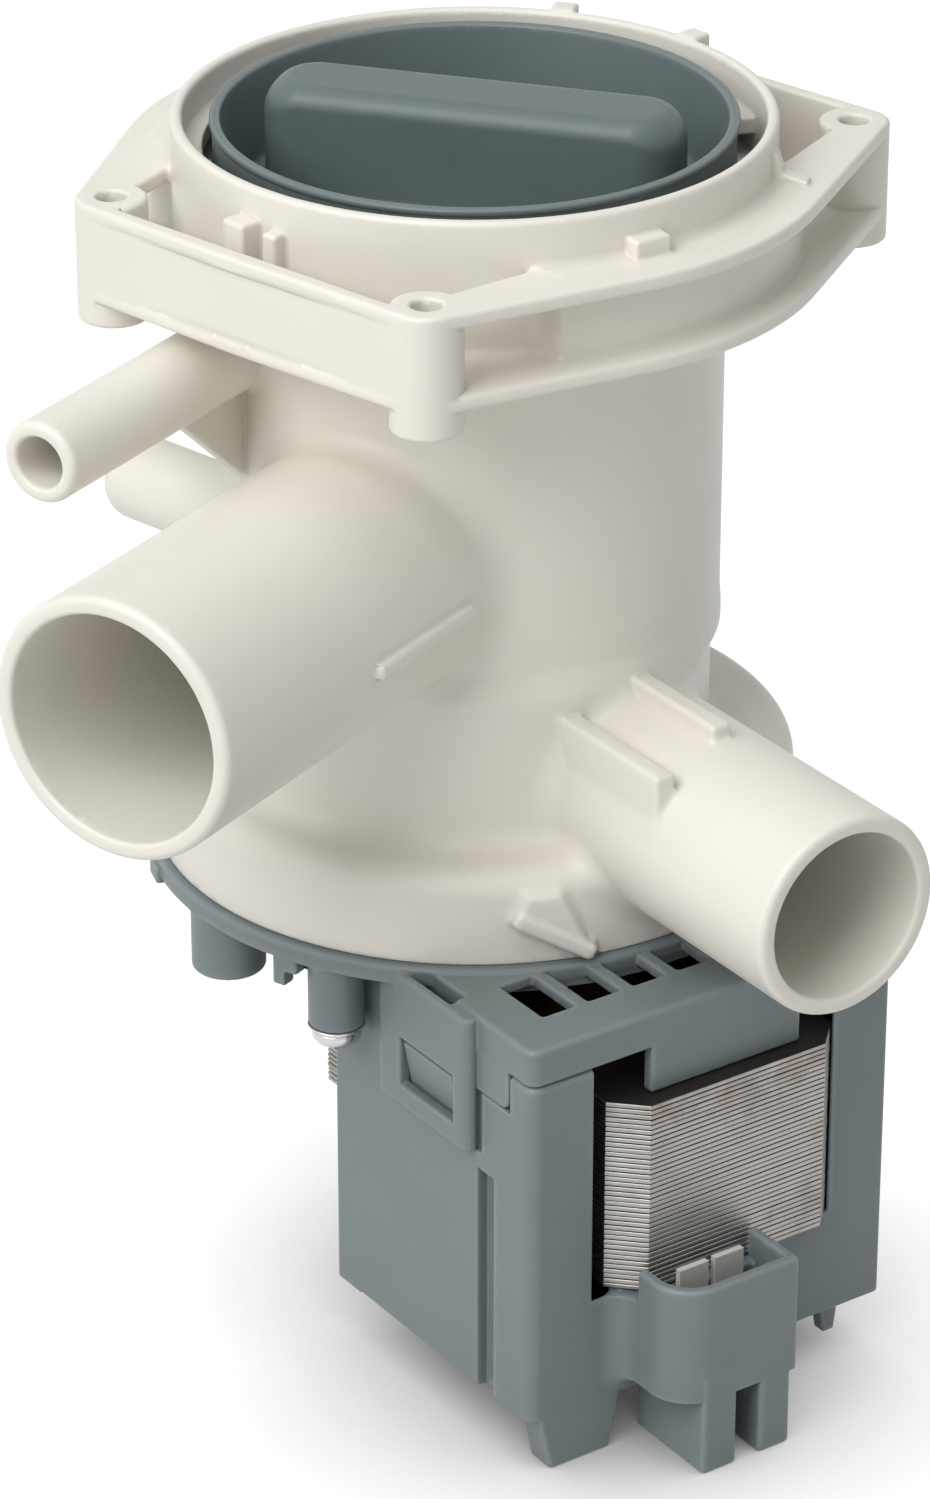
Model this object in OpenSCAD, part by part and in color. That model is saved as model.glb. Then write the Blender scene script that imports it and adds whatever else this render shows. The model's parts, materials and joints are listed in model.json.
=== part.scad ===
// Drain pump of a washing machine: a moulded housing with a filter tube and three pipes,
// a bayonet filter cap with its strainer, and a synchronous motor with a laminated core.
// Millimetres, Z up. The origin is on the flange face, on the filter axis.

/* [Mounting flange] */
// Distance between the flange screw holes along X
hole_dx = 73.6; // [70:0.2:80]
// Distance between the flange screw holes along Y
hole_dy = 47.2; // [44:0.2:54]
// Shift of the hole pattern from the filter axis along X
hole_shift_x = 0.6; // [-1:0.1:1]
// Shift of the hole pattern from the filter axis along Y
hole_shift_y = -1.6; // [-2.5:0.1:1]
// Diameter of the flange screw holes
hole_d = 3.4; // [2.8:0.1:4.2]
// Diameter of the corner bosses
boss_d = 8.2; // [7:0.1:9.4]
// Height of the corner bosses
boss_h = 14.5; // [12:0.5:17]
// Height of the flange frame, down to the underside of its lip
flange_h = 11.5; // [10.5:0.5:13]
// Thickness of the flange plates and side walls
flange_wall = 1.8; // [1.2:0.1:2.4]
// Width of the ledge between the collar and the bowed edge
ledge_w = 6.4; // [4:0.2:8]
// Length of the solid stretch of the ledge along X
ledge_l = 50; // [36:1:56]
// Thickness of the web behind the bowed edge
web_w = 3.1; // [1.6:0.1:3.8]

/* [Filter tube] */
// Inner diameter of the rim
rim_d = 66; // [64:0.5:69]
// Height of the rim above the flange face
rim_h = 5.5; // [4.5:0.5:8]
// Wall of the rim and the collar below it
rim_wall = 1.4; // [1:0.1:2]
// Step from the rim in to the land that the cap seal bears on
land_step = 2.5; // [2:0.1:3]
// Depth of that land's top below the flange face
land_depth = 3; // [2.6:0.1:4]
// Inner diameter of the filter tube
filter_d = 53.6; // [48:0.2:56]
// Wall of the filter tube and of the pump chamber
tube_wall = 2; // [1.4:0.1:2.6]
// Thickness of the floor between filter and pump chamber
floor_t = 2; // [1.2:0.1:3]
// Diameter of the eye in that floor
eye_d = 26; // [18:1:34]
// Height of the cone under the collar
cone_h = 3; // [2:0.5:6]

/* [Inlet pipe] */
// Outer diameter of the inlet pipe
inlet_d = 30.6; // [28.4:0.2:33]
// Bore of the inlet pipe
inlet_bore = 26.4; // [20:0.2:27.4]
// Distance of the inlet mouth from the filter axis
inlet_reach = 75.5; // [60:0.5:90]
// Distance of the hose stop on the inlet from the filter axis
inlet_stop = 47.6; // [46:0.2:52]
// Direction of the inlet pipe
inlet_turn = 188.8; // [180:0.1:196]
// Sideways shift of the inlet pipe
inlet_side = 2.4; // [0:0.1:5]
// Depth of the inlet axis below the flange face
inlet_drop = 40.3; // [38:0.1:46]
// Height of the sill between the inlet bore and the filter floor
inlet_sill = 1; // [0.6:0.1:4]

/* [Outlet pipe] */
// Outer diameter of the outlet pipe
outlet_d = 24.1; // [22:0.1:26]
// Bore of the outlet pipe
outlet_bore = 20; // [16:0.2:21]
// Distance of the outlet mouth from the filter axis
outlet_reach = 68.5; // [55:0.5:85]
// Distance of the hose stop on the outlet from the filter axis
outlet_stop = 47.6; // [46:0.2:50]
// Direction of the outlet pipe
outlet_turn = 256.3; // [246:0.1:266]
// Sideways shift of the outlet pipe
outlet_side = 2.6; // [0:0.1:6]
// Gap between the outlet bore and the roof of the pump chamber
outlet_roof_gap = 1.9; // [0.8:0.1:3]
// Width of the two ribs on the outlet root
outlet_rib_w = 2.6; // [1.6:0.1:3.4]
// Height of those ribs above the pipe
outlet_rib_h = 1.9; // [1:0.1:3]

/* [Drain nozzle and stub] */
// Outer diameter of the drain nozzle
nozzle_d = 9.5; // [8:0.1:11]
// Bore of the drain nozzle
nozzle_bore = 6; // [4:0.2:7]
// Distance of the nozzle mouth from the filter axis
nozzle_reach = 62.6; // [50:0.2:75]
// Distance of the hose stop on the nozzle from the filter axis
nozzle_stop = 36.2; // [35:0.2:42]
// Direction of the drain nozzle
nozzle_turn = 189.3; // [184:0.1:195]
// Sideways shift of the drain nozzle
nozzle_side = -16.2; // [-18:0.1:-14]
// Depth of the nozzle axis below the flange face
nozzle_drop = 18.4; // [17.6:0.1:20]
// Thickness of the web under the nozzle
nozzle_web_t = 1.6; // [1:0.1:2.4]
// Diameter of the closed stub
stub_d = 10.1; // [7:0.1:11]
// Distance of the stub end from the filter axis, along Y
stub_reach = 36; // [29:0.5:40]
// Distance of the stub axis from the filter axis, along X
stub_side = 21.7; // [16:0.1:23]
// Depth of the stub axis below the flange face
stub_drop = 42.6; // [36:0.1:46]

/* [Pump chamber] */
// Inner diameter of the pump chamber
chamber_d = 50; // [47:0.2:52]
// Height of the pump chamber
chamber_h = 27.5; // [26.5:0.5:32]
// Outer diameter of the chamber body
volute_d = 58; // [57:0.2:62]
// Shift of the chamber body towards the inlet
volute_shift = 1.9; // [0:0.1:2.4]
// Height of the chamber body's shoulder above the chamber roof
volute_rise = 3.4; // [1:0.1:6]
// Diameter of the foot disc
disc_d = 76; // [74:0.5:82]
// Height of the foot disc
disc_h = 11.5; // [9:0.5:12.5]
// Wall of the foot disc
disc_wall = 2; // [1.4:0.1:2.4]
// Rounding of the foot disc's top edge
disc_round = 3; // [1:0.2:4]

/* [Filter insert] */
// Gap between the cap's lip and the rim
cap_gap = 3; // [2.6:0.1:3.6]
// Depth of the cap's dish below the flange face
dish_depth = 5; // [4:0.2:5.4]
// Length of the grip bar
grip_l = 49; // [40:0.5:50]
// Width of the grip bar
grip_w = 11.5; // [10.5:0.5:14]
// Height of the grip bar above the rim
grip_rise = 2.2; // [0:0.1:4]
// Direction of the grip bar
grip_turn = -65; // [-90:1:90]
// Height of the cap seal
seal_h = 2.4; // [1.8:0.1:2.6]
// Height of the bayonet lugs
lug_h = 1.8; // [1.2:0.1:2]
// Width of the bayonet lugs, in degrees
lug_span = 28; // [20:1:36]
// Diameter of the hub that the strainer hangs on
hub_d = 10; // [8:0.2:14]
// Wall of the strainer
strainer_wall = 1.6; // [1.2:0.1:2.2]
// Width of the strainer slots
strainer_slot = 3; // [2:0.1:4]
// Number of strainer slots round its side
strainer_slots = 20; // [12:1:24]

/* [Rotor] */
// Diameter of the shaft
shaft_d = 4; // [3:0.1:5]
// Diameter of the magnet
magnet_d = 18.4; // [16:0.2:20]
// Height of the magnet
magnet_h = 23; // [18:0.5:23.6]
// Air gap between the magnet and the can
air_gap = 1; // [0.6:0.1:1.6]
// Wall of the rotor can
can_wall = 1.1; // [0.8:0.1:1.6]
// Outer diameter of the bearing bushes
bush_d = 8; // [7:0.2:9]
// Height of the upper bush
bush_h = 7.5; // [6:0.5:8]
// Thickness of the thrust washers
washer_t = 0.6; // [0.4:0.1:1]

/* [Impeller] */
// Diameter of the impeller
impeller_d = 36; // [30:0.5:42]
// Height of the impeller
impeller_h = 17; // [14:0.5:17.6]
// Thickness of the impeller's base disc
impeller_base = 1.6; // [1.2:0.1:2.4]
// Number of blades
blades = 6; // [4:1:8]
// Thickness of a blade
blade_t = 1.6; // [1:0.1:2.4]
// Outer diameter of the drive hollow in the impeller hub
hollow_d = 18; // [16:0.5:21]
// Width of the drive lugs, in degrees
dog_span = 60; // [40:1:80]
// Height of the drive dog
dog_h = 5; // [4:0.2:6]

/* [Motor flange] */
// Turn of the motor below the flange
motor_turn = 13.7; // [0:0.1:30]
// Thickness of the round plate and of the coil lid
plate_t = 2.4; // [1.8:0.1:3]
// Width by which the round plate stands out past the foot disc
plate_margin = 1.2; // [0.6:0.1:2.4]
// Height of the plug that closes the pump chamber
plug_h = 5.5; // [5.2:0.1:7]
// Radius of the circle of flange screws
screw_circle_r = 35.4; // [35.2:0.1:36]
// Diameter of the flange screws
screw_d = 3; // [2.5:0.1:3.2]
// Diameter of the screw heads and washers
screw_head_d = 6.8; // [5.6:0.1:7]
// Height of the screw heads
screw_head_h = 1.9; // [1.4:0.1:3]
// Length of the screw bosses below the plate
screw_boss_l = 8.4; // [6:0.2:9]
// Diameter of the plain bosses
plain_boss_d = 8.8; // [7:0.2:10]
// Length of the plain bosses below the plate
plain_boss_l = 8; // [6:0.2:11]

/* [Motor core] */
// Thickness of one core sheet
sheet_t = 0.65; // [0.5:0.01:0.7]
// Number of core sheets
sheets = 38; // [34:1:40]
// Width of the core
core_w = 32.4; // [31:0.2:33]
// Distance of the core's front face from the rotor axis
core_front = 53.1; // [52:0.1:55]
// Distance of the core's back face from the rotor axis
core_back = 8; // [5:0.5:10]
// Depth of the yoke
yoke_l = 10.1; // [9.8:0.1:11]
// Width of each leg
leg_w = 9.4; // [8.6:0.1:9.8]
// Bevel of the two front corners
core_bevel = 3.7; // [2:0.1:5]
// Thickness of the windings
winding_t = 3.8; // [3:0.1:4]

/* [Motor casing] */
// Width of the casing
casing_w = 51; // [50.6:0.2:53]
// Shift of the casing from the rotor axis
casing_shift = -2; // [-2:0.1:0]
// Distance of the casing's front face from the rotor axis
casing_front = 50.8; // [50:0.1:51.6]
// Distance of the casing's back face from the rotor axis
casing_back = 13; // [12.4:0.1:14]
// Height of the casing, lid included
casing_h = 49.5; // [47:0.5:54]
// Wall of the casing
casing_wall = 1.6; // [1.2:0.1:1.8]
// Height of the lid's skirt
lid_skirt = 4.7; // [3.6:0.1:6]
// Depth of the core's top below the lid
core_drop = 10.5; // [10.2:0.1:11.5]
// Height of the feet
foot_h = 6.8; // [4:0.2:9]
// Gap between the core and the sides of its window
window_gap = 1.2; // [0.6:0.1:2]
// Width of the latch straps
strap_w = 17.5; // [14:0.5:18.5]
// Length of the latch straps below the lid
strap_l = 17.5; // [14:0.5:20]
// Thickness of the latch straps
strap_t = 1.5; // [1:0.1:2]
// Width of the vent slots
vent_w = 4.5; // [3:0.1:5]
// Number of vent slots
vents = 7; // [3:1:7]

/* [Plug socket] */
// Width of the socket
socket_w = 17.2; // [15:0.2:20]
// Sideways place of the socket's middle
socket_x = -5.9; // [-8:0.1:0]
// Distance of the socket's front face from the rotor axis
socket_front = 61.8; // [61:0.1:64]
// Height of the socket
socket_h = 15.2; // [13:0.2:17]
// Depth of its pocket
socket_depth = 9.5; // [7:0.1:11]
// Wall of the socket
socket_wall = 1.3; // [1:0.1:1.6]
// Distance between the two terminal blades
blade_pitch = 5; // [4.8:0.1:5.6]
// Width of a terminal blade
blade_w = 4.1; // [2.8:0.1:4.3]

/* [Clearances] */
// Radial clearance of a running fit
run_fit = 0.04; // [0.02:0.01:0.08]
// Radial clearance of a push fit
push_fit = 0.05; // [0.02:0.01:0.1]
// Gap between pieces that move past each other
move_gap = 0.4; // [0.3:0.05:0.6]
// Gap between fixed pieces that lie against each other
seat_gap = 0.1; // [0.05:0.05:0.2]

/* [Hidden] */
$fn = 96;
over = 1;
sink = 0.4;

white = "#efeae0";
blue_grey = "#6f8494";
dark_blue = "#4c5f6e";
rubber_black = "#2b2b2d";
steel = "#b9b9bb";
bronze = "#a9803f";
nylon = "#e3e1da";
copper = "#5a3320";
coil_black = "#1c1c1e";

// Filter tube and chamber levels, worked down from the flange face
rim_r = rim_d / 2;
collar_r = rim_r + rim_wall;
land_r = rim_r - land_step;
filter_r = filter_d / 2;
tube_r = filter_r + tube_wall;
bow_r = collar_r + ledge_w;
corner_r = boss_d / 2;
edge_r = 0.5;
pipe_edge = 0.9;
hose_step = 0.25;
floor_z = -(inlet_drop + inlet_bore / 2 + inlet_sill);
roof_z = floor_z - floor_t;
outlet_z = roof_z - outlet_roof_gap - outlet_bore / 2;
base_z = roof_z - chamber_h;
disc_z = base_z + disc_h;
disc_r = disc_d / 2;
chamber_r = chamber_d / 2;
volute_r = volute_d / 2;

// Filter insert
lip_r = rim_r - cap_gap;
skirt_r = land_r - 2 * move_gap;
lug_r = rim_r - 2 * move_gap;
ramp_r = lip_r + 2 * move_gap;
lug_z = -land_depth + move_gap;
ramp_z = lug_z + lug_h + move_gap;
ramp_h = 2;
ramp_span = 60;
lugs = 3;
dish_t = 2;
dish_z = -dish_depth - dish_t;
skirt_z = -flange_h + move_gap;
groove_gap = 0.15;
seal_z = skirt_z + 1.1 + groove_gap;
groove_r = skirt_r - 1.9;
dish_wall = 1.4;
dish_r = groove_r - dish_wall;
strainer_r = filter_r - 1.5 * move_gap;
strainer_z = skirt_z - move_gap;
strainer_lid = 2;
strainer_foot = floor_z + move_gap;
clip_t = 1;
clip_z = strainer_z - strainer_lid - move_gap - clip_t;
clip_groove = 0.9;
clip_r = hub_d / 2 + 2.2;

// Rotor and bearings
shaft_r = shaft_d / 2;
bush_r = bush_d / 2;
can_in_r = magnet_d / 2 + air_gap;
can_r = can_in_r + can_wall;
core_r = can_r + 2 * seat_gap;
plug_z = base_z + plug_h;
plug_r = chamber_r - 2 * seat_gap;
cap_recess = 2.8;
cap_r = can_in_r + 4;
cap_z = plug_z - cap_recess;
bush_top = plug_z - 1.8;
bush_foot = bush_top - bush_h;
hub_top = bush_foot - move_gap - washer_t;
core_top = base_z - lid_step() - core_drop;
core_h = sheets * sheet_t;
core_z = core_top - core_h;
magnet_z = core_top - core_h / 2 - magnet_h / 2;
collar_t = 0.9;
hub_foot = magnet_z - collar_t;
lower_top = hub_foot - washer_t - move_gap;
lower_h = 6;
cup_floor = 0.6;
can_floor = lower_top - lower_h - cup_floor - seat_gap;
can_z = can_floor - can_wall;
shaft_foot = lower_top - lower_h + 1;
magnet_hub_r = shaft_r + 2.6;
washer_r = shaft_r + 2.8;
seal_cord = 1.7;
ring_cord = 2.2;

// Impeller and its drive
impeller_z = plug_z + 1.5 * move_gap;
ring_t = 1;
dog_z = impeller_z + ring_t + move_gap;
hollow_top = dog_z + dog_h + move_gap;
hollow_r = hollow_d / 2;
dog_r = hollow_r - move_gap;
dog_hub_r = shaft_r + 2.8;
shaft_top = impeller_z + impeller_h - 3;
impeller_hub_r = hollow_r + 1.6;

// Motor casing
function lid_step() = 0.5;
lid_z = base_z - lid_step();
cover_top = lid_z - lid_skirt - seat_gap;
cover_z = lid_z - casing_h;
left_x = casing_shift - casing_w / 2;
right_x = casing_shift + casing_w / 2;
plate_r = disc_r + plate_margin;
screw_turns = [88.5, 208.5, 328.5];
plain_turns = [58.5, 118.5, 178.5];
plain_circle_r = plate_r - plain_boss_d / 2 - 0.3;
hook_turn = 201;
hook_l = 3.6;
nub_turn = 162;
screw_boss_r = screw_head_d / 2 - 0.1;
screw_hole_r = screw_d / 2 + push_fit;
screw_z = base_z - plate_t - screw_boss_l;
screw_grip = 8;
screw_washer_t = 0.7;
strap_y = -31.5;
strap_front = strap_y - strap_w / 2;
latch_y = [strap_y - 6, strap_y + 4.6];
latch_z = [lid_z - strap_l + 2.8, lid_z - strap_l + 9];
side_flap_t = 0.8;
side_flap_y = -casing_front + 4.5;
side_flap_z = core_top + 1;
wing_l = 2;
sill_gap = 0.05;
leg_x = core_w / 2 - leg_w / 2;
bobbin_wall = 1;
bobbin_flange = 1.4;
bobbin_rim = 0.4;
bobbin_front = -core_front + yoke_l + 0.6;
bobbin_back = -casing_back - casing_wall - 0.4;
coil_in_w = leg_w + 4 * seat_gap;
coil_in_h = core_h + 4 * seat_gap;
socket_drop = 11.4;
socket_z = core_z - socket_drop;
socket_back = core_front + 0.5;
socket_floor = socket_z + socket_h - socket_depth;
blade_t_plug = 0.8;
blade_root = 3;
blade_y = -socket_back - 2.4;

// A round rod standing on z = 0, with its top edge rounded
module soft_rod(r, length, edge) {
    rotate_extrude() {
        square([r, length - edge]);
        square([r - edge, length]);
        translate([r - edge, length - edge]) circle(edge);
    }
}

// A pipe's outside: a root that ends in a small step, and the stretch that a hose covers
module spigot(r, reach, stop) {
    cylinder(r = r + hose_step, h = stop);
    soft_rod(r, reach, pipe_edge);
}

// A ring between two radii, standing on z = 0
module ring(r_in, r_out, h) {
    rotate_extrude() translate([r_in, 0]) square([r_out - r_in, h]);
}

// A sector of such a ring, centred on the X axis
module ring_sector(r_in, r_out, h, span) {
    rotate([0, 0, -span / 2]) rotate_extrude(angle = span) translate([r_in, 0]) square([r_out - r_in, h]);
}

// Places its children on a sideways pipe's axis, with Z pointing out of the pipe
module along(turn, side, z) {
    rotate([0, 0, turn]) translate([0, side, z]) rotate([0, 90, 0]) children();
}

// Places its children at a radius and a turn about Z
module at(turn, r) {
    rotate([0, 0, turn]) translate([r, 0, 0]) children();
}

// Puts its children into the motor's own directions
module in_motor() {
    rotate([0, 0, -motor_turn]) children();
}

module box(x, y, z) {
    translate([x[0], y[0], z[0]]) cube([x[1] - x[0], y[1] - y[0], z[1] - z[0]]);
}

module at_holes() {
    for (x = [-1, 1], y = [-1, 1])
        translate([hole_shift_x + x * hole_dx / 2, hole_shift_y + y * hole_dy / 2]) children();
}

// Flange outline: four round corners, and a bow on each long side that runs into them
module flange_outline(inset = 0) {
    r = corner_r - inset;
    bow = bow_r - inset;
    translate([hole_shift_x, hole_shift_y]) square([hole_dx + 2 * r, hole_dy], center = true);
    at_holes() circle(r);
    circle(bow);
    for (x = [-1, 1], y = [-1, 1]) {
        hole = [hole_dx / 2 + x * hole_shift_x, hole_dy / 2 + y * hole_shift_y];
        lean = atan2(hole[1], hole[0]) + acos((bow - r) / norm(hole));
        n = [cos(lean), sin(lean)];
        corner = hole + r * n;
        scale([x, y]) polygon([[0, 0], [corner[0], 0], corner, bow * n, [0, bow * n[1]]]);
    }
}

// Pockets at the two ends of the flange, between its edge and the collar
module flange_pockets() {
    difference() {
        flange_outline(flange_wall);
        square([ledge_l, 3 * bow_r], center = true);
    }
}

module flange() {
    translate([0, 0, -flange_h]) linear_extrude(flange_wall) flange_outline();
    translate([0, 0, -flange_wall]) linear_extrude(flange_wall) difference() {
        flange_outline();
        flange_pockets();
    }
    wall_x = hole_dx / 2 + corner_r - flange_wall / 2;
    for (s = [-1, 1])
        translate([hole_shift_x + s * wall_x, hole_shift_y, -flange_h / 2])
            cube([flange_wall, hole_dy, flange_h], center = true);
    translate([0, 0, -flange_h]) linear_extrude(flange_h) intersection() {
        circle(collar_r + web_w);
        square([ledge_l, 3 * bow_r], center = true);
    }
    translate([0, 0, -boss_h]) at_holes() cylinder(r = corner_r, h = boss_h);
}

// Small blocks on the outside of the collar, each with its turn, width, reach and top, and a sloping bracket
module rim_tabs() {
    root = collar_r - rim_wall / 2;
    foot = -3.4;
    bracket_turn = -62;
    bracket_t = 1.6;
    bracket_l = 4.8;
    tabs = [[-106, 4.6, 2.6, 2.2], [176, 3.4, 3.4, 2.2], [-177, 2, 2.4, 1.6], [24, 3, 2.8, 5.8],
        [-5, 3, 2.8, 5.8]];
    for (tab = tabs)
        at(tab[0], root) box([0, tab[2]], [-tab[1] / 2, tab[1] / 2], [foot, tab[3]]);
    at(bracket_turn, root) rotate([90, 0, 0]) linear_extrude(bracket_t, center = true)
        polygon([[0, foot], [bracket_l, foot], [bracket_l, 0.4], [bracket_l / 3, 1.5], [0, 1.5]]);
}

// Rim, collar, cone and filter tube as one turned form
module filter_tube() {
    rotate_extrude() polygon([[0, rim_h], [collar_r - edge_r, rim_h], [collar_r, rim_h - edge_r],
        [collar_r, -flange_h], [tube_r, -flange_h - cone_h], [tube_r, roof_z - sink], [0, roof_z - sink]]);
}

module chamber_body() {
    translate([-volute_shift, 0, base_z + disc_wall])
        soft_rod(volute_r, roof_z + volute_rise - base_z - disc_wall, 2.2);
    translate([0, 0, base_z]) soft_rod(disc_r, disc_h, disc_round);
}

// Wedge with a slanted lip on the edge of the foot disc
module disc_ramp() {
    ramp_turn = -125;
    root = 1.4;
    wedge_out = 0.9;
    lip_out = 1.6;
    at(ramp_turn, disc_r - root) translate([0, 0, base_z]) rotate([90, 0, 90]) {
        linear_extrude(root + wedge_out)
            polygon([[-2.5, 9.5], [1, 9.5], [3.6, 3], [4.3, 0.9], [-4.2, 6.8]]);
        linear_extrude(root + lip_out)
            polygon([[-4.8, 6.2], [-4.2, 7.4], [4.9, 1.2], [4.3, 0.2]]);
    }
}

module inlet_outside() {
    rib_t = 1.2;
    rib_out = 1;
    along(inlet_turn, inlet_side, -inlet_drop) spigot(inlet_d / 2, inlet_reach, inlet_stop);
    along(inlet_turn, inlet_side, -inlet_drop)
        box([0, rib_t], [0, inlet_d / 2 + rib_out], [tube_r, inlet_stop]);
}

module outlet_outside() {
    along(outlet_turn, outlet_side, outlet_z) spigot(outlet_d / 2, outlet_reach, outlet_stop);
}

// Two ribs along the outlet's root, one on top and one lower at its side, and a block beside the chamber body
module outlet_ribs() {
    rib_top = outlet_z + outlet_d / 2 + outlet_rib_h;
    rib_root = 18;
    top_rib_end = outlet_stop - 2.6;
    side_rib_end = outlet_stop;
    side_rib_gap = 9.6;
    side_rib_drop = 2.6;
    block_x = [4, 17.9];
    block_y = [-20.2, -16];
    block_drop = 4;
    half = outlet_rib_w / 2;
    rotate([0, 0, outlet_turn]) {
        translate([0, outlet_side, 0]) box([rib_root, top_rib_end], [-half, half], [outlet_z, rib_top]);
        translate([0, outlet_side - side_rib_gap, 0])
            box([rib_root, side_rib_end], [-half, half], [outlet_z, rib_top - side_rib_drop]);
    }
    box(block_x, block_y, [disc_z - sink, roof_z - block_drop]);
}

// Drain nozzle with the web under it, and the closed stub beside the inlet
module nozzle_outside() {
    web_root = 10;
    web_foot = 23.5;
    web_z = -inlet_drop + 5;
    stub_round = 2.4;
    along(nozzle_turn, nozzle_side, -nozzle_drop) spigot(nozzle_d / 2, nozzle_reach, nozzle_stop);
    rotate([0, 0, nozzle_turn]) translate([0, nozzle_side + nozzle_web_t / 2, 0]) rotate([90, 0, 0])
        linear_extrude(nozzle_web_t) polygon([[web_root, -nozzle_drop], [nozzle_stop, -nozzle_drop],
            [nozzle_stop, -nozzle_drop - nozzle_d / 2 - 1], [web_foot, web_z], [web_root, web_z]]);
    along(90, stub_side, -stub_drop) soft_rod(stub_d / 2, stub_reach, stub_round);
}

// Everything hollow on the filter axis: rim, seal land, filter tube, eye and pump chamber
module axis_hollow() {
    rotate_extrude() polygon([[0, rim_h + over], [rim_r, rim_h + over], [rim_r, -land_depth],
        [land_r, -land_depth], [land_r, -flange_h], [filter_r, -flange_h], [filter_r, floor_z],
        [eye_d / 2, floor_z], [eye_d / 2, roof_z], [chamber_r, roof_z],
        [chamber_r, base_z - over], [0, base_z - over]]);
}

// Hollow underside of the foot disc, with the screw posts and the outlet left standing
module disc_hollow() {
    post_r = screw_d / 2 + disc_wall;
    difference() {
        translate([0, 0, base_z - over])
            ring(chamber_r + tube_wall + volute_shift, disc_r - disc_wall, disc_h - disc_round + over);
        in_motor() for (turn = screw_turns)
            at(turn, screw_circle_r) translate([0, 0, base_z - 2 * over])
                cylinder(r = post_r, h = disc_h + over);
        along(outlet_turn, outlet_side, outlet_z)
            cylinder(r = outlet_d / 2 + hose_step, h = outlet_stop);
    }
}

module bayonet_ramps() {
    for (i = [0:lugs - 1])
        rotate([0, 0, grip_turn + 180 / lugs + i * 360 / lugs]) translate([0, 0, ramp_z])
            ring_sector(ramp_r, rim_r + rim_wall / 2, ramp_h, ramp_span);
}

module pump_housing() {
    color(white) {
        difference() {
            union() {
                flange();
                rim_tabs();
                filter_tube();
                chamber_body();
                disc_ramp();
                inlet_outside();
                outlet_outside();
                outlet_ribs();
                nozzle_outside();
            }
            axis_hollow();
            disc_hollow();
            at_holes() translate([0, 0, -boss_h - over]) cylinder(d = hole_d, h = boss_h + 2 * over);
            along(inlet_turn, inlet_side, -inlet_drop) cylinder(d = inlet_bore, h = inlet_reach + over);
            along(outlet_turn, outlet_side, outlet_z) cylinder(d = outlet_bore, h = outlet_reach + over);
            along(nozzle_turn, nozzle_side, -nozzle_drop) cylinder(d = nozzle_bore, h = nozzle_reach + over);
            in_motor() for (turn = screw_turns)
                at(turn, screw_circle_r) translate([0, 0, base_z - over])
                    cylinder(r = screw_hole_r, h = screw_grip + 2 * over);
        }
        bayonet_ramps();
    }
}

// Grip bar: the part that its plan, its side view and its end view have in common
module grip_bar() {
    top = rim_h + grip_rise;
    foot = -dish_depth - dish_t / 2;
    plan_r = 5;
    end_r = 4;
    top_r = 2.4;
    rotate([0, 0, grip_turn]) intersection() {
        translate([0, 0, foot]) linear_extrude(top - foot) {
            square([grip_l, grip_w - 2 * plan_r], center = true);
            square([grip_l - 2 * plan_r, grip_w], center = true);
            for (x = [-1, 1], y = [-1, 1])
                translate([x * (grip_l / 2 - plan_r), y * (grip_w / 2 - plan_r)]) circle(plan_r);
        }
        rotate([90, 0, 0]) linear_extrude(2 * grip_w, center = true) rounded_top(grip_l, foot, top, end_r);
        rotate([90, 0, 90]) linear_extrude(2 * grip_l, center = true) rounded_top(grip_w, foot, top, top_r);
    }
}

module rounded_top(w, foot, top, r) {
    translate([-w / 2, foot - over]) square([w, top - foot + over - r]);
    translate([-w / 2 + r, foot - over]) square([w - 2 * r, top - foot + over]);
    for (s = [-1, 1]) translate([s * (w / 2 - r), top - r]) circle(r);
}

module filter_cap() {
    lip_z = rim_h - 0.3;
    color(dark_blue) difference() {
        union() {
            rotate_extrude() polygon([[0, dish_z], [dish_r - 1, dish_z], [dish_r - 1, skirt_z],
                [skirt_r, skirt_z], [skirt_r, seal_z - groove_gap], [groove_r, seal_z - groove_gap],
                [groove_r, seal_z + seal_h + groove_gap], [skirt_r, seal_z + seal_h + groove_gap],
                [skirt_r, lip_z - 1], [lip_r, lip_z - 0.6], [lip_r, lip_z], [lip_r - 1.2, lip_z],
                [dish_r, -dish_depth], [0, -dish_depth]]);
            for (i = [0:lugs - 1])
                rotate([0, 0, grip_turn + i * 360 / lugs]) translate([0, 0, lug_z])
                    ring_sector(skirt_r - 1, lug_r, lug_h, lug_span);
            translate([0, 0, clip_z - 1]) cylinder(d = hub_d, h = dish_z + dish_t / 2 - clip_z + 1);
            grip_bar();
        }
        translate([0, 0, clip_z - seat_gap])
            ring(hub_d / 2 - clip_groove, hub_d, clip_t + 2 * seat_gap);
    }
}

module cap_seal() {
    color(rubber_black) translate([0, 0, seal_z]) ring(groove_r + push_fit, land_r - move_gap / 2, seal_h);
}

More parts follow.
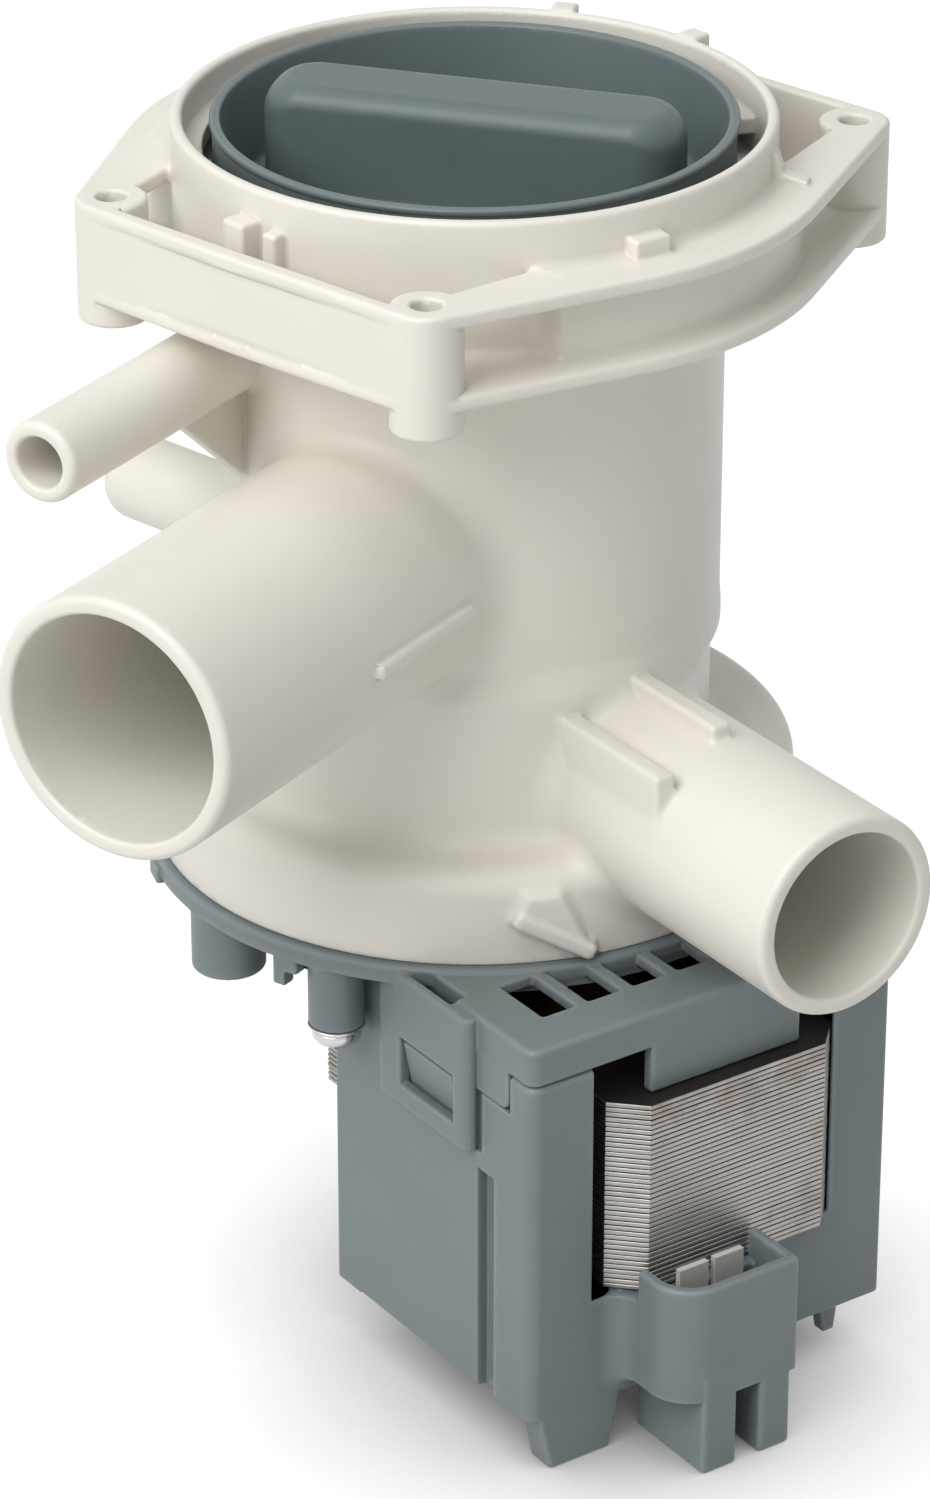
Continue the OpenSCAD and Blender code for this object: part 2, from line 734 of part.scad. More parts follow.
// Basket under the cap: slotted side, open towards the inlet, with a slotted floor
module strainer() {
    h = strainer_z - strainer_foot;
    color(blue_grey) difference() {
        translate([0, 0, strainer_foot]) cylinder(r = strainer_r, h = h);
        translate([0, 0, strainer_foot + strainer_wall])
            cylinder(r = strainer_r - strainer_wall, h = h - strainer_wall - strainer_lid);
        translate([0, 0, strainer_z - strainer_lid - over])
            cylinder(r = hub_d / 2 + run_fit, h = strainer_lid + 2 * over);
        along(inlet_turn, inlet_side, -inlet_drop) cylinder(d = inlet_bore, h = inlet_reach);
        for (i = [0:strainer_slots - 1])
            rotate([0, 0, inlet_turn + (i + 0.5) * 360 / strainer_slots])
                box([strainer_r - 2 * strainer_wall, strainer_r + over],
                    [-strainer_slot / 2, strainer_slot / 2], [strainer_foot + 4, strainer_z - 5]);
        for (i = [0:11])
            rotate([0, 0, i * 30])
                box([hub_d / 2 + 3, strainer_r - 3], [-strainer_slot / 2, strainer_slot / 2],
                    [strainer_foot - over, strainer_foot + strainer_wall + over]);
    }
}

// Open clip in the hub's groove, under the strainer's top
module strainer_clip() {
    color(steel) translate([0, 0, clip_z]) difference() {
        ring(hub_d / 2 - clip_groove + push_fit, clip_r, clip_t);
        box([0, hub_d], [-1.5, 1.5], [-over, clip_t + over]);
    }
}

module impeller() {
    color(nylon) translate([0, 0, impeller_z]) difference() {
        union() {
            cylinder(d = impeller_d, h = impeller_base);
            soft_rod(impeller_hub_r, hollow_top - impeller_z + 1.6, 1);
            soft_rod(shaft_r + 2.4, impeller_h, 1.2);
            for (i = [0:blades - 1])
                rotate([0, 0, i * 360 / blades])
                    box([shaft_r + 1.6, impeller_d / 2 - 0.4], [-blade_t / 2, blade_t / 2],
                        [0, impeller_h - 2.4]);
        }
        translate([0, 0, -over])
            cylinder(r = shaft_r + run_fit, h = shaft_top - impeller_z + move_gap + over);
        translate([0, 0, -over]) difference() {
            cylinder(r = hollow_r, h = hollow_top - impeller_z + over);
            translate([0, 0, over + ring_t]) rotate([0, 0, 180])
                ring_sector(dog_hub_r + move_gap, hollow_r + over, hollow_top - impeller_z, dog_span);
        }
    }
}

// Ring that closes the impeller's drive hollow from below
module impeller_ring() {
    color(nylon) translate([0, 0, impeller_z]) ring(dog_hub_r + move_gap, hollow_r - push_fit, ring_t);
}

// Dog on the shaft: its lug meets the impeller's own lug after most of a turn
module drive_dog() {
    lug_drop = 0.3;
    color(blue_grey) difference() {
        union() {
            translate([0, 0, dog_z - ring_t - move_gap])
                cylinder(r = dog_hub_r, h = dog_h + ring_t + move_gap);
            translate([0, 0, dog_z]) ring_sector(shaft_r + 1, dog_r, dog_h - lug_drop, dog_span);
        }
        translate([0, 0, dog_z - 2 * over - ring_t]) cylinder(r = shaft_r + push_fit, h = dog_h + 6 * over);
    }
}

module rotor_shaft() {
    color(steel) translate([0, 0, shaft_foot]) soft_rod(shaft_r, shaft_top - shaft_foot, 0.3);
}

// Moulded carrier of the magnet, with a collar at each end
module magnet_hub() {
    color(nylon) difference() {
        union() {
            translate([0, 0, hub_foot]) cylinder(r = magnet_hub_r, h = hub_top - hub_foot);
            translate([0, 0, hub_foot]) cylinder(r = magnet_d / 2 - 1, h = collar_t);
            translate([0, 0, magnet_z + magnet_h]) cylinder(r = magnet_d / 2 - 1, h = collar_t);
        }
        translate([0, 0, hub_foot - over])
            cylinder(r = shaft_r + push_fit, h = hub_top - hub_foot + 2 * over);
    }
}

module rotor_magnet() {
    color(rubber_black) translate([0, 0, magnet_z]) ring(magnet_hub_r + push_fit, magnet_d / 2, magnet_h);
}

module upper_washer() {
    color(steel) translate([0, 0, hub_top]) ring(shaft_r + push_fit, washer_r, washer_t);
}

module lower_washer() {
    color(steel) translate([0, 0, hub_foot - washer_t]) ring(shaft_r + push_fit, washer_r, washer_t);
}

module upper_bush() {
    color(bronze) translate([0, 0, bush_foot]) ring(shaft_r + run_fit, bush_r, bush_h);
}

module lower_bush() {
    color(bronze) translate([0, 0, lower_top - lower_h]) ring(shaft_r + run_fit, bush_r, lower_h);
}

// Rubber cup that holds the lower bush in the bottom of the can
module bush_mount() {
    foot = can_floor + seat_gap / 2;
    color(rubber_black) difference() {
        translate([0, 0, foot]) cylinder(r = can_in_r - seat_gap, h = lower_top - foot - 0.6);
        translate([0, 0, lower_top - lower_h]) cylinder(r = bush_r + push_fit, h = lower_h + over);
    }
}

// Plug that closes the can and holds the upper bush
module bearing_cap() {
    groove_z = cap_z - 3;
    color(blue_grey) difference() {
        union() {
            translate([0, 0, cap_z]) cylinder(r = cap_r - seat_gap, h = cap_recess);
            translate([0, 0, bush_foot]) cylinder(r = can_in_r - seat_gap, h = cap_z - bush_foot + sink);
        }
        translate([0, 0, bush_foot - over]) cylinder(r = bush_r + push_fit, h = bush_h + over);
        translate([0, 0, bush_top - sink]) cylinder(r = shaft_r + move_gap, h = cap_recess + over);
        translate([0, 0, groove_z - seal_cord / 2 - seat_gap])
            ring(can_in_r - seal_cord - 0.1, can_in_r + over, seal_cord + 2 * seat_gap);
    }
}

module bearing_seal() {
    color(rubber_black) translate([0, 0, cap_z - 3]) rotate_extrude()
        translate([can_in_r - seal_cord / 2 - push_fit, 0]) circle(d = seal_cord);
}

module flange_seal() {
    color(rubber_black) translate([0, 0, base_z + plug_h / 2]) rotate_extrude()
        translate([chamber_r - ring_cord / 2 - push_fit, 0]) circle(d = ring_cord);
}

// Lid over the coils, with its skirt, vent slots and flap, joined to the round plate
module coil_lid() {
    vent_pitch = 6.3;
    vent_l = 8.4;
    vent_x = -19.2;
    vent_y = -casing_front + 6.4;
    flap_x = [-10.8, 10.4];
    difference() {
        casing_block(lid_z - lid_skirt, lid_z);
        casing_room(lid_z - lid_skirt - over, lid_z - plate_t);
        difference() {
            for (i = [0:vents - 1])
                translate([vent_x + i * vent_pitch, vent_y, 0])
                    box([-vent_w / 2, vent_w / 2], [0, vent_l], [lid_z - plate_t - over, lid_z + over]);
            translate([0, 0, lid_z - 2 * plate_t]) cylinder(r = plate_r, h = 4 * plate_t);
        }
        box([core_w / -2 - window_gap, core_w / 2 + window_gap], [-casing_back - 2 * casing_wall, 0],
            [lid_z - lid_skirt - over, lid_z - plate_t]);
    }
    box(flap_x, [-casing_front, -casing_front + casing_wall], [core_top + sill_gap, lid_z - plate_t]);
    box([left_x, left_x + side_flap_t], [side_flap_y, strap_front], [side_flap_z, lid_z - plate_t]);
}

// Outline of the casing, with its front left corner rounded
module casing_outline(inset = 0) {
    r = 1.6;
    x = [left_x + inset, right_x - inset];
    y = [-casing_front + inset, -casing_back - inset];
    translate([x[0], y[0] + r]) square([x[1] - x[0], y[1] - y[0] - r]);
    translate([x[0] + r, y[0]]) square([x[1] - x[0] - r, y[1] - y[0]]);
    translate([x[0] + r, y[0] + r]) circle(r);
}

module casing_block(z0, z1) {
    translate([0, 0, z0]) linear_extrude(z1 - z0) casing_outline();
}

module casing_room(z0, z1) {
    translate([0, 0, z0]) linear_extrude(z1 - z0) casing_outline(casing_wall);
}

// Strap with a window that the cover's nose snaps into, on one side of the lid
module latch_strap(x) {
    difference() {
        box([x, x + strap_t], [strap_front, strap_front + strap_w], [lid_z - strap_l, lid_z - 0.3]);
        box([x - over, x + strap_t + over], latch_y, latch_z);
    }
}

module motor_flange() {
    color(blue_grey) in_motor() difference() {
        union() {
            translate([0, 0, base_z - plate_t]) cylinder(r = plate_r, h = plate_t);
            translate([0, 0, base_z - plate_t]) cylinder(r = plug_r, h = plug_h + plate_t);
            translate([0, 0, can_z]) soft_can();
            coil_lid();
            latch_strap(left_x - strap_t - seat_gap);
            latch_strap(right_x + seat_gap);
            for (x = [left_x - strap_t - seat_gap, right_x - sink])
                box([x, x + strap_t + seat_gap + sink], [strap_front, strap_front + strap_w],
                    [lid_z - plate_t, lid_z - 0.3]);
            for (turn = screw_turns)
                at(turn, screw_circle_r) translate([0, 0, screw_z])
                    cylinder(r = screw_boss_r, h = screw_boss_l + plate_t);
            for (turn = plain_turns)
                at(turn, plain_circle_r) translate([0, 0, base_z - plate_t - plain_boss_l])
                    cylinder(d = plain_boss_d, h = plain_boss_l + plate_t);
            edge_hook(hook_turn, plate_r - 2.2, plate_r - 0.2, hook_l);
            edge_hook(nub_turn, plate_r - 2.2, plate_r + 0.5, 0.6);
        }
        box([left_x - 0.5, left_x + casing_wall - 0.1], [strap_y - 4.2, strap_y + 6.8],
            [lid_z - lid_skirt + 0.6, lid_z + over]);
        translate([0, 0, can_floor]) cylinder(r = can_in_r, h = plug_z - can_floor + over);
        translate([0, 0, cap_z - seat_gap / 2]) cylinder(r = cap_r, h = cap_recess + over);
        translate([0, 0, base_z + plug_h / 2 - ring_cord / 2 - seat_gap])
            ring(chamber_r - ring_cord - 2 * seat_gap, chamber_r + over, ring_cord + 2 * seat_gap);
        for (turn = screw_turns)
            at(turn, screw_circle_r) translate([0, 0, screw_z - over])
                cylinder(r = screw_hole_r, h = screw_boss_l + plate_t + 2 * over);
        for (turn = plain_turns)
            at(turn, plain_circle_r) translate([0, 0, base_z - plate_t - plain_boss_l - over])
                cylinder(r = screw_hole_r, h = plain_boss_l);
    }
}

// Small tab on the edge of the round plate, reaching below it
module edge_hook(turn, r_in, r_out, drop) {
    hook_w = 3.4;
    foot = base_z - plate_t - drop;
    at(turn, 0) box([r_in, r_out], [-hook_w / 2, hook_w / 2], [foot, base_z - plate_t / 3]);
}

// Blank of the rotor can, before it is bored
module soft_can() {
    mirror([0, 0, 1]) translate([0, 0, can_z - base_z + sink]) soft_rod(can_r, base_z - can_z - sink, 1);
}

module flange_screws() {
    color(steel) in_motor() for (turn = screw_turns)
        at(turn, screw_circle_r) {
            translate([0, 0, screw_z - screw_washer_t])
                cylinder(d = screw_d, h = screw_washer_t + screw_boss_l + plate_t + screw_grip);
            translate([0, 0, screw_z - screw_washer_t - screw_head_h]) difference() {
                cylinder(d = screw_head_d - 1, h = screw_head_h);
                translate([0, 0, -over]) cylinder(d = screw_d, h = over + 1.1, $fn = 6);
            }
        }
}

module screw_washers() {
    color(steel) in_motor() for (turn = screw_turns)
        at(turn, screw_circle_r) translate([0, 0, screw_z - screw_washer_t])
            ring(screw_hole_r, screw_head_d / 2, screw_washer_t);
}

// Snap nose on the cover, inside a strap's window
module latch_nose(x, way) {
    play = 0.4;
    nose = strap_t + seat_gap - 0.2;
    z = [latch_z[0] + play, latch_z[1] - play];
    translate([x, latch_y[1] - play, 0]) rotate([90, 0, 0])
        linear_extrude(latch_y[1] - latch_y[0] - 2 * play)
            polygon([[-way * sink, z[0]], [way * 0.3, z[0]], [way * nose, z[1]], [-way * sink, z[1]]]);
}

// Front foot: the front wall drawn down, with slanted sides
module front_foot() {
    translate([0, -casing_front + 4, 0]) rotate([90, 0, 0]) linear_extrude(4)
        polygon([[left_x + 1.4, cover_z + sink], [left_x + 3, cover_z - foot_h],
            [left_x + 11.4, cover_z - foot_h], [left_x + 13, cover_z + sink]]);
}

// Thin fin under the front wall's other end
module front_fin() {
    fin_x = right_x - 6.4;
    fin_h = 3.8;
    fin_t = 1.8;
    translate([fin_x, -casing_front + 3.2, 0]) rotate([90, 0, 0]) linear_extrude(fin_t)
        polygon([[-1.6, cover_z + sink], [1.6, cover_z + sink], [0.9, cover_z - fin_h],
            [-0.6, cover_z - fin_h]]);
}

// Tongue under the rotor with the two rear feet
module rear_feet() {
    tongue_x = [-12, 9];
    tongue_y = 7;
    inset = 3;
    post_d = 5;
    box(tongue_x, [-casing_back - casing_wall, tongue_y], [cover_z, cover_z + casing_wall]);
    for (x = [tongue_x[0] + inset, tongue_x[1] - inset])
        translate([x, tongue_y - inset, cover_z - foot_h]) cylinder(d = post_d, h = foot_h + sink);
}

module socket_block(y_back, z0, z1) {
    r = 3;
    x = [socket_x - socket_w / 2, socket_x + socket_w / 2];
    translate([0, 0, z0]) linear_extrude(z1 - z0) {
        translate([x[0] + r, -socket_front]) square([socket_w - r, socket_front - y_back]);
        translate([x[0], -socket_front + r]) square([socket_w, socket_front - y_back - r]);
        translate([x[0] + r, -socket_front + r]) circle(r);
    }
}

module plug_socket() {
    socket_block(socket_back, socket_z, socket_z + socket_h);
    socket_block(casing_front - sink, socket_z, core_z - 2 * sink);
    for (x = [[-4.8, 0], [3.3, 7.7]])
        box([socket_x + x[0], socket_x + x[1]], [-socket_front, -casing_front + 2],
            [cover_z - foot_h, socket_z + sink]);
}

// Room for the plug: a pocket that is open towards the core above the core's foot
module socket_pocket() {
    pocket_x = [socket_x - socket_w / 2 + 2 * socket_wall, socket_x + socket_w / 2 - socket_wall];
    box(pocket_x, [-socket_front + socket_wall, -socket_back - socket_wall],
        [socket_floor, socket_z + socket_h + over]);
    box(pocket_x, [-socket_front + socket_wall, -socket_back + over], [core_z, socket_z + socket_h + over]);
    for (s = [-1, 1])
        translate([socket_x + s * blade_pitch / 2, blade_y, socket_floor - blade_root])
            box([-blade_w / 2 - push_fit, blade_w / 2 + push_fit],
                [-blade_t_plug / 2 - push_fit, blade_t_plug / 2 + push_fit], [0, 4]);
}

module motor_cover() {
    sill = core_z - sill_gap;
    color(blue_grey) in_motor() difference() {
        union() {
            difference() {
                casing_block(cover_z, cover_top);
                casing_room(cover_z + casing_wall, cover_top + over);
                box([casing_shift - core_w / 2 - window_gap / 2, casing_shift + core_w / 2 + window_gap],
                    [-casing_front - over, -casing_front + 3 * casing_wall], [sill, cover_top + over]);
                translate([0, 0, sill]) linear_extrude(cover_top + over - sill) core_outline(seat_gap);
            }
            side_wall();
            latch_nose(left_x, -1);
            latch_nose(right_x, 1);
            front_foot();
            front_fin();
            rear_feet();
            plug_socket();
        }
        socket_pocket();
        side_grooves();
    }
}

// Left wall's wing behind the casing, and the rib that backs its long groove
module side_wall() {
    box([left_x, left_x + casing_wall], [-casing_back - sink, -casing_back + wing_l], [cover_z, cover_top]);
    box([left_x + casing_wall - sink, left_x + 2 * casing_wall], [strap_front - 4.4, strap_front + 1.2],
        [cover_z + sink, lid_z - strap_l - 1]);
}

// Recess for the lid's side flap, slit in front of the strap, and the long groove below it
module side_grooves() {
    groove_t = casing_wall - 0.1;
    flap_y = [side_flap_y - 2 * seat_gap, strap_front + seat_gap];
    box([left_x - over, left_x + side_flap_t + seat_gap], flap_y, [side_flap_z - seat_gap, cover_top + over]);
    box([left_x - over, left_x + side_flap_t], [strap_front - 0.7, strap_front + 0.5],
        [lid_z - strap_l, cover_top + over]);
    box([left_x - over, left_x + groove_t], [strap_front - 3.2, strap_front],
        [cover_z - over, lid_z - strap_l - 2.3]);
}

// Outline of one sheet of the core, grown by a gap
module core_outline(gap) {
    half = core_w / 2 + gap;
    front = core_front + gap;
    polygon([[-half, core_back], [-half, -front + core_bevel], [-half + core_bevel, -front],
        [half - core_bevel, -front], [half, -front + core_bevel], [half, core_back]]);
}

// Stack of sheets: a yoke in front, two legs, and the poles round the rotor can
module stator_core() {
    slot = core_w / 2 - leg_w;
    color(steel) in_motor() translate([0, 0, core_z]) linear_extrude(core_h) difference() {
        core_outline(0);
        translate([-slot, -core_front + yoke_l]) square([2 * slot, core_front - yoke_l + core_back + over]);
        circle(core_r);
    }
}

// A rectangular sleeve round one leg, between two distances from the rotor axis
module leg_sleeve(side, y, inner, outer) {
    mid = core_z + core_h / 2;
    translate([side * leg_x, (y[0] + y[1]) / 2, mid]) difference() {
        cube([coil_in_w + 2 * outer, y[1] - y[0], coil_in_h + 2 * outer], center = true);
        cube([coil_in_w + 2 * inner, y[1] - y[0] + 2 * over, coil_in_h + 2 * inner], center = true);
    }
}

module bobbin(side) {
    rim = bobbin_wall + winding_t + bobbin_rim;
    color(coil_black) in_motor() union() {
        leg_sleeve(side, [bobbin_front, bobbin_back], 0, bobbin_wall);
        leg_sleeve(side, [bobbin_front, bobbin_front + bobbin_flange], 0, rim);
        leg_sleeve(side, [bobbin_back - bobbin_flange, bobbin_back], 0, rim);
    }
}

module winding(side) {
    y = [bobbin_front + bobbin_flange + seat_gap, bobbin_back - bobbin_flange - seat_gap];
    color(copper) in_motor() leg_sleeve(side, y, bobbin_wall + seat_gap / 2, bobbin_wall + winding_t);
}

module left_bobbin() {
    bobbin(-1);
}

module right_bobbin() {
    bobbin(1);
}

module left_winding() {
    winding(-1);
}

module right_winding() {
    winding(1);
}

module terminal_blades() {
    color(steel) in_motor() for (s = [-1, 1])
        translate([socket_x + s * blade_pitch / 2, blade_y, socket_floor - blade_root])
            box([-blade_w / 2, blade_w / 2], [-blade_t_plug / 2, blade_t_plug / 2],
                [push_fit, socket_depth + blade_root - 0.1]);
}

// Thermal cut-out, lying on the left winding
module thermal_fuse() {
    fuse_r = 1.4;
    top = core_top + (coil_in_h - core_h) / 2 + bobbin_wall + winding_t;
    fuse_l = 10;
    fuse_y = (bobbin_front + bobbin_back) / 2 + fuse_l / 2;
    color(white) in_motor() translate([-leg_x, fuse_y, top + fuse_r + seat_gap / 2])
        rotate([90, 0, 0]) cylinder(r = fuse_r, h = fuse_l);
}

pump_housing();
filter_cap();
cap_seal();
strainer();
strainer_clip();
impeller();
impeller_ring();
drive_dog();
rotor_shaft();
magnet_hub();
rotor_magnet();
upper_washer();
lower_washer();
upper_bush();
lower_bush();
bush_mount();
bearing_cap();
bearing_seal();
flange_seal();
motor_flange();
flange_screws();
screw_washers();
motor_cover();
stator_core();
left_bobbin();
right_bobbin();
left_winding();
right_winding();
terminal_blades();
thermal_fuse();
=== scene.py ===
# %% [markdown]
# # Drain pump of a washing machine
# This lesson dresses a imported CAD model. The white filter housing, the blue-grey motor and the
# turning cap are already there as plain solids with sharp edges. A moulded part has none: every
# edge is rounded and every corner where two walls meet is filled. So the moulded pieces are made
# again here as surfaces with those roundings, in the same frame, and the rest keep their solids.

# %% Load the frame
import json
import math

import bpy
import numpy as np
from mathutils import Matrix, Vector


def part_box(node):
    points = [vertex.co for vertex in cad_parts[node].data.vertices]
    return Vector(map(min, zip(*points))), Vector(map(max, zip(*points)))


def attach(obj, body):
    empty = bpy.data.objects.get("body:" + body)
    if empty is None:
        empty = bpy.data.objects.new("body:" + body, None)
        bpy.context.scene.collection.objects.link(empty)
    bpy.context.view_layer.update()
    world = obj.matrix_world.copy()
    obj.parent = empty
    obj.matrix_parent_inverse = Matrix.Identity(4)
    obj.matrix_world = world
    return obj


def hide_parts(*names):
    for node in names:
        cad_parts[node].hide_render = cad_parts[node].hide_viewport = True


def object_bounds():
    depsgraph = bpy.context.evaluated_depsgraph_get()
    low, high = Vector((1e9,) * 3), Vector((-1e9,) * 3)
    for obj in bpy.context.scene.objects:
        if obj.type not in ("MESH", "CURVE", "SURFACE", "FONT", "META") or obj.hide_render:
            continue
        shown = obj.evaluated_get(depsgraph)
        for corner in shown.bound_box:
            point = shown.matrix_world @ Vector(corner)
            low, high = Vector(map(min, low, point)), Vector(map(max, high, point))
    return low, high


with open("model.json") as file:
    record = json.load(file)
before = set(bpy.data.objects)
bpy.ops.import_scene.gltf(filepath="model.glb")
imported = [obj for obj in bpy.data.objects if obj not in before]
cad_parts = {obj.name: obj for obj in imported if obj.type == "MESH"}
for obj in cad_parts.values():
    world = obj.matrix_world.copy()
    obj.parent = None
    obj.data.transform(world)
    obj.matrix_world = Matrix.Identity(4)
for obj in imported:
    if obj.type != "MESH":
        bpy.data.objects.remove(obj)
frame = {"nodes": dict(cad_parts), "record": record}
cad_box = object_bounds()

MM = 0.001

# %% [markdown]
# ## Camera
# The photograph looks down on the pump from its front left. The eye, the point it looks at and the
# focal length were solved from the round rim and the straight edges of the motor. With an upright
# picture, Blender lays the sensor's width along the longer side, here the height.

# %% Camera
EYE = Vector((-458.3, -405.4, 237.7)) * MM
TARGET = Vector((-0.726, 0.817, -75.70)) * MM
lens = bpy.data.cameras.new("photo_lens")
lens.sensor_width = 36.0
lens.lens = 138.47
lens.clip_start = 0.01
camera = bpy.data.objects.new("photo_camera", lens)
camera.location = EYE
camera.rotation_mode = "QUATERNION"
camera.rotation_quaternion = (TARGET - EYE).to_track_quat("-Z", "Y")
bpy.context.scene.collection.objects.link(camera)
bpy.context.scene.camera = camera
print("camera distance mm", round((TARGET - EYE).length / MM, 1))

# %% [markdown]
# ## Distance fields
# A moulded housing is many simple bodies run into each other. Sweeping a profile can't show where
# a pipe grows out of a tube with a soft fillet, so these pieces are written as distance fields:
# a function that gives, for every point, how far it lies from the surface, negative inside.
# Two fields are joined with a fillet, or cut with a rounded edge, by one line of arithmetic.

# %% Fields of simple bodies
def inside_out(u, v, edge):
    """Distance to a corner of two faces, whose own distances are u and v, with that edge rounded."""
    u, v = u + edge, v + edge
    return np.hypot(np.maximum(u, 0), np.maximum(v, 0)) + np.minimum(np.maximum(u, v), 0) - edge


def rod(p, start, end, r, edge=0.0):
    """Round rod: the corner of its radial distance and its distance past the two ends."""
    start, end = np.asarray(start, p.dtype), np.asarray(end, p.dtype)
    length = np.linalg.norm(end - start)
    rel = p - start
    t = rel @ ((end - start) / length).astype(p.dtype)
    across = np.sqrt(np.maximum((rel * rel).sum(1) - t * t, 0))
    return inside_out(across - r, np.abs(t - length / 2) - length / 2, edge)


def block(p, x, y, z, edge=0.0):
    """Block between two values on each axis: length of the part of the offset outside, or the
    largest offset inside, with its edges rounded."""
    mid = np.array([sum(x), sum(y), sum(z)], p.dtype) / 2
    half = np.array([x[1] - x[0], y[1] - y[0], z[1] - z[0]], p.dtype) / 2 - edge
    q = np.abs(p - mid) - half
    return np.linalg.norm(np.maximum(q, 0), axis=1) + np.minimum(q.max(1), 0) - edge


def outline(u, v, corners):
    """Distance in a plane to a closed outline of straight edges: the least distance to an edge,
    negative where a ray crosses the outline an odd number of times."""
    best = np.full(u.shape, 1e9)
    odd = np.zeros(u.shape, bool)
    for (ax, ay), (bx, by) in zip(corners, corners[1:] + corners[:1]):
        ex, ey = bx - ax, by - ay
        wx, wy = u - ax, v - ay
        t = np.clip((wx * ex + wy * ey) / (ex * ex + ey * ey), 0, 1)
        best = np.minimum(best, (wx - ex * t) ** 2 + (wy - ey * t) ** 2)
        if ey:
            odd ^= ((ay > v) != (by > v)) & (wx < ex * wy / ey)
    return np.where(odd, -1, 1) * np.sqrt(best)


def shrunk(corners, by):
    """The outline with every edge moved inwards, so that a later growth rounds its corners."""
    c = np.array(corners, float)
    area = np.sum(c[:, 0] * np.roll(c[:, 1], -1) - c[:, 1] * np.roll(c[:, 0], -1))
    e = np.roll(c, -1, 0) - c
    n = np.stack([-e[:, 1], e[:, 0]], 1) / np.linalg.norm(e, axis=1)[:, None] * np.sign(area)
    m = np.roll(n, 1, 0) + n
    return [tuple(q) for q in c + m * (2 * by / (m * m).sum(1))[:, None]]


def turned(p, corners, edge=0.0):
    """Body of revolution about Z: the outline's distance at each point's radius and height. A solid
    body's outline runs past the axis, so that no edge lies on it."""
    rho = np.hypot(p[:, 0], p[:, 1])
    return outline(rho, p[:, 2], shrunk(corners, edge) if edge else corners) - edge


def slab(plan, z, low, high, edge=0.0):
    """A plan drawn up between two heights, with its edges rounded."""
    return inside_out(plan, np.abs(z - (low + high) / 2) - (high - low) / 2, edge)


def prism(u, v, w, corners, low, high, edge):
    """A straight-edged outline in u and v, drawn out along w between two values, edges rounded."""
    return slab(outline(u, v, shrunk(corners, edge)) - edge, w, low, high, edge)


def sector(p, at, span, r, z):
    """Part of a ring between two radii and heights, about a direction and over a span in degrees."""
    q = turn(p, at)
    rho = np.hypot(q[:, 0], q[:, 1])
    sides = rho * (np.abs(np.arctan2(q[:, 1], q[:, 0])) - math.radians(span / 2))
    radial = np.maximum(rho - r[1], r[0] - rho)
    return inside_out(np.maximum(radial, np.maximum(p[:, 2] - z[1], z[0] - p[:, 2])), sides, 0.2)


def join(a, b, fillet):
    """Both bodies, with the inner corner between them filled to that radius."""
    u, v = np.maximum(fillet - a, 0), np.maximum(fillet - b, 0)
    return np.maximum(fillet, np.minimum(a, b)) - np.hypot(u, v)


def cut(a, b, edge=0.0):
    """The first body without the second, with the edge of the cut rounded."""
    return inside_out(a, -b, edge)


def turn(p, degrees):
    """Points turned back about Z, so that a body written along X comes out at that direction."""
    a = math.radians(degrees)
    c, s = math.cos(a), math.sin(a)
    return np.stack([c * p[:, 0] + s * p[:, 1], c * p[:, 1] - s * p[:, 0], p[:, 2]], 1)


def drum(rho, z, r, low, high, edge=0.0):
    """Upright round body, from each point's distance to the axis and its height."""
    return inside_out(rho - r, np.abs(z - (low + high) / 2) - (high - low) / 2, edge)


def near(p, x, y, z, field, reach=3.0):
    """A body's field, worked out only for points close to the box that holds the body. Further off,
    the distance to that box stands in for it, which saves most of the work."""
    d = block(p, x, y, z)
    close = d < reach
    if close.any():
        d[close] = field(p[close])
    return d


# %% [markdown]
# ## From a field to a mesh
# The field is sampled on a grid, finely only near the surface. Each grid cell that the surface
# crosses gets one vertex, and each grid edge that it crosses gets one quad (the "surface nets"
# method). The vertices are then moved along the field's gradient until they lie on the surface.
# Where an edge of the mesh still cuts across a rounding, it is split and its middle moved too, so
# plain walls keep large triangles and small roundings get fine ones. The gradient is also the
# exact normal, so the shading is smooth everywhere.

# %% Skin of a field
MOST_TRIANGLES = 196000
SLACKS = (0.12, 0.07, 0.045, 0.03, 0.02)


def gradient(field, p, h=0.04):
    """Normal of a field from four samples at the corners of a small tetrahedron."""
    ways = np.array([[1, -1, -1], [-1, -1, 1], [-1, 1, -1], [1, 1, 1]], float)
    g = sum(w * field(p + h * w)[:, None] for w in ways)
    return g / np.maximum(np.linalg.norm(g, axis=1), 1e-9)[:, None]


def settle(field, p, reach, rounds=3):
    """Moves points along the gradient by their distance, no further than reach in a round."""
    for _ in range(rounds):
        p = p - np.clip(field(p), -reach, reach)[:, None] * gradient(field, p)
    return p


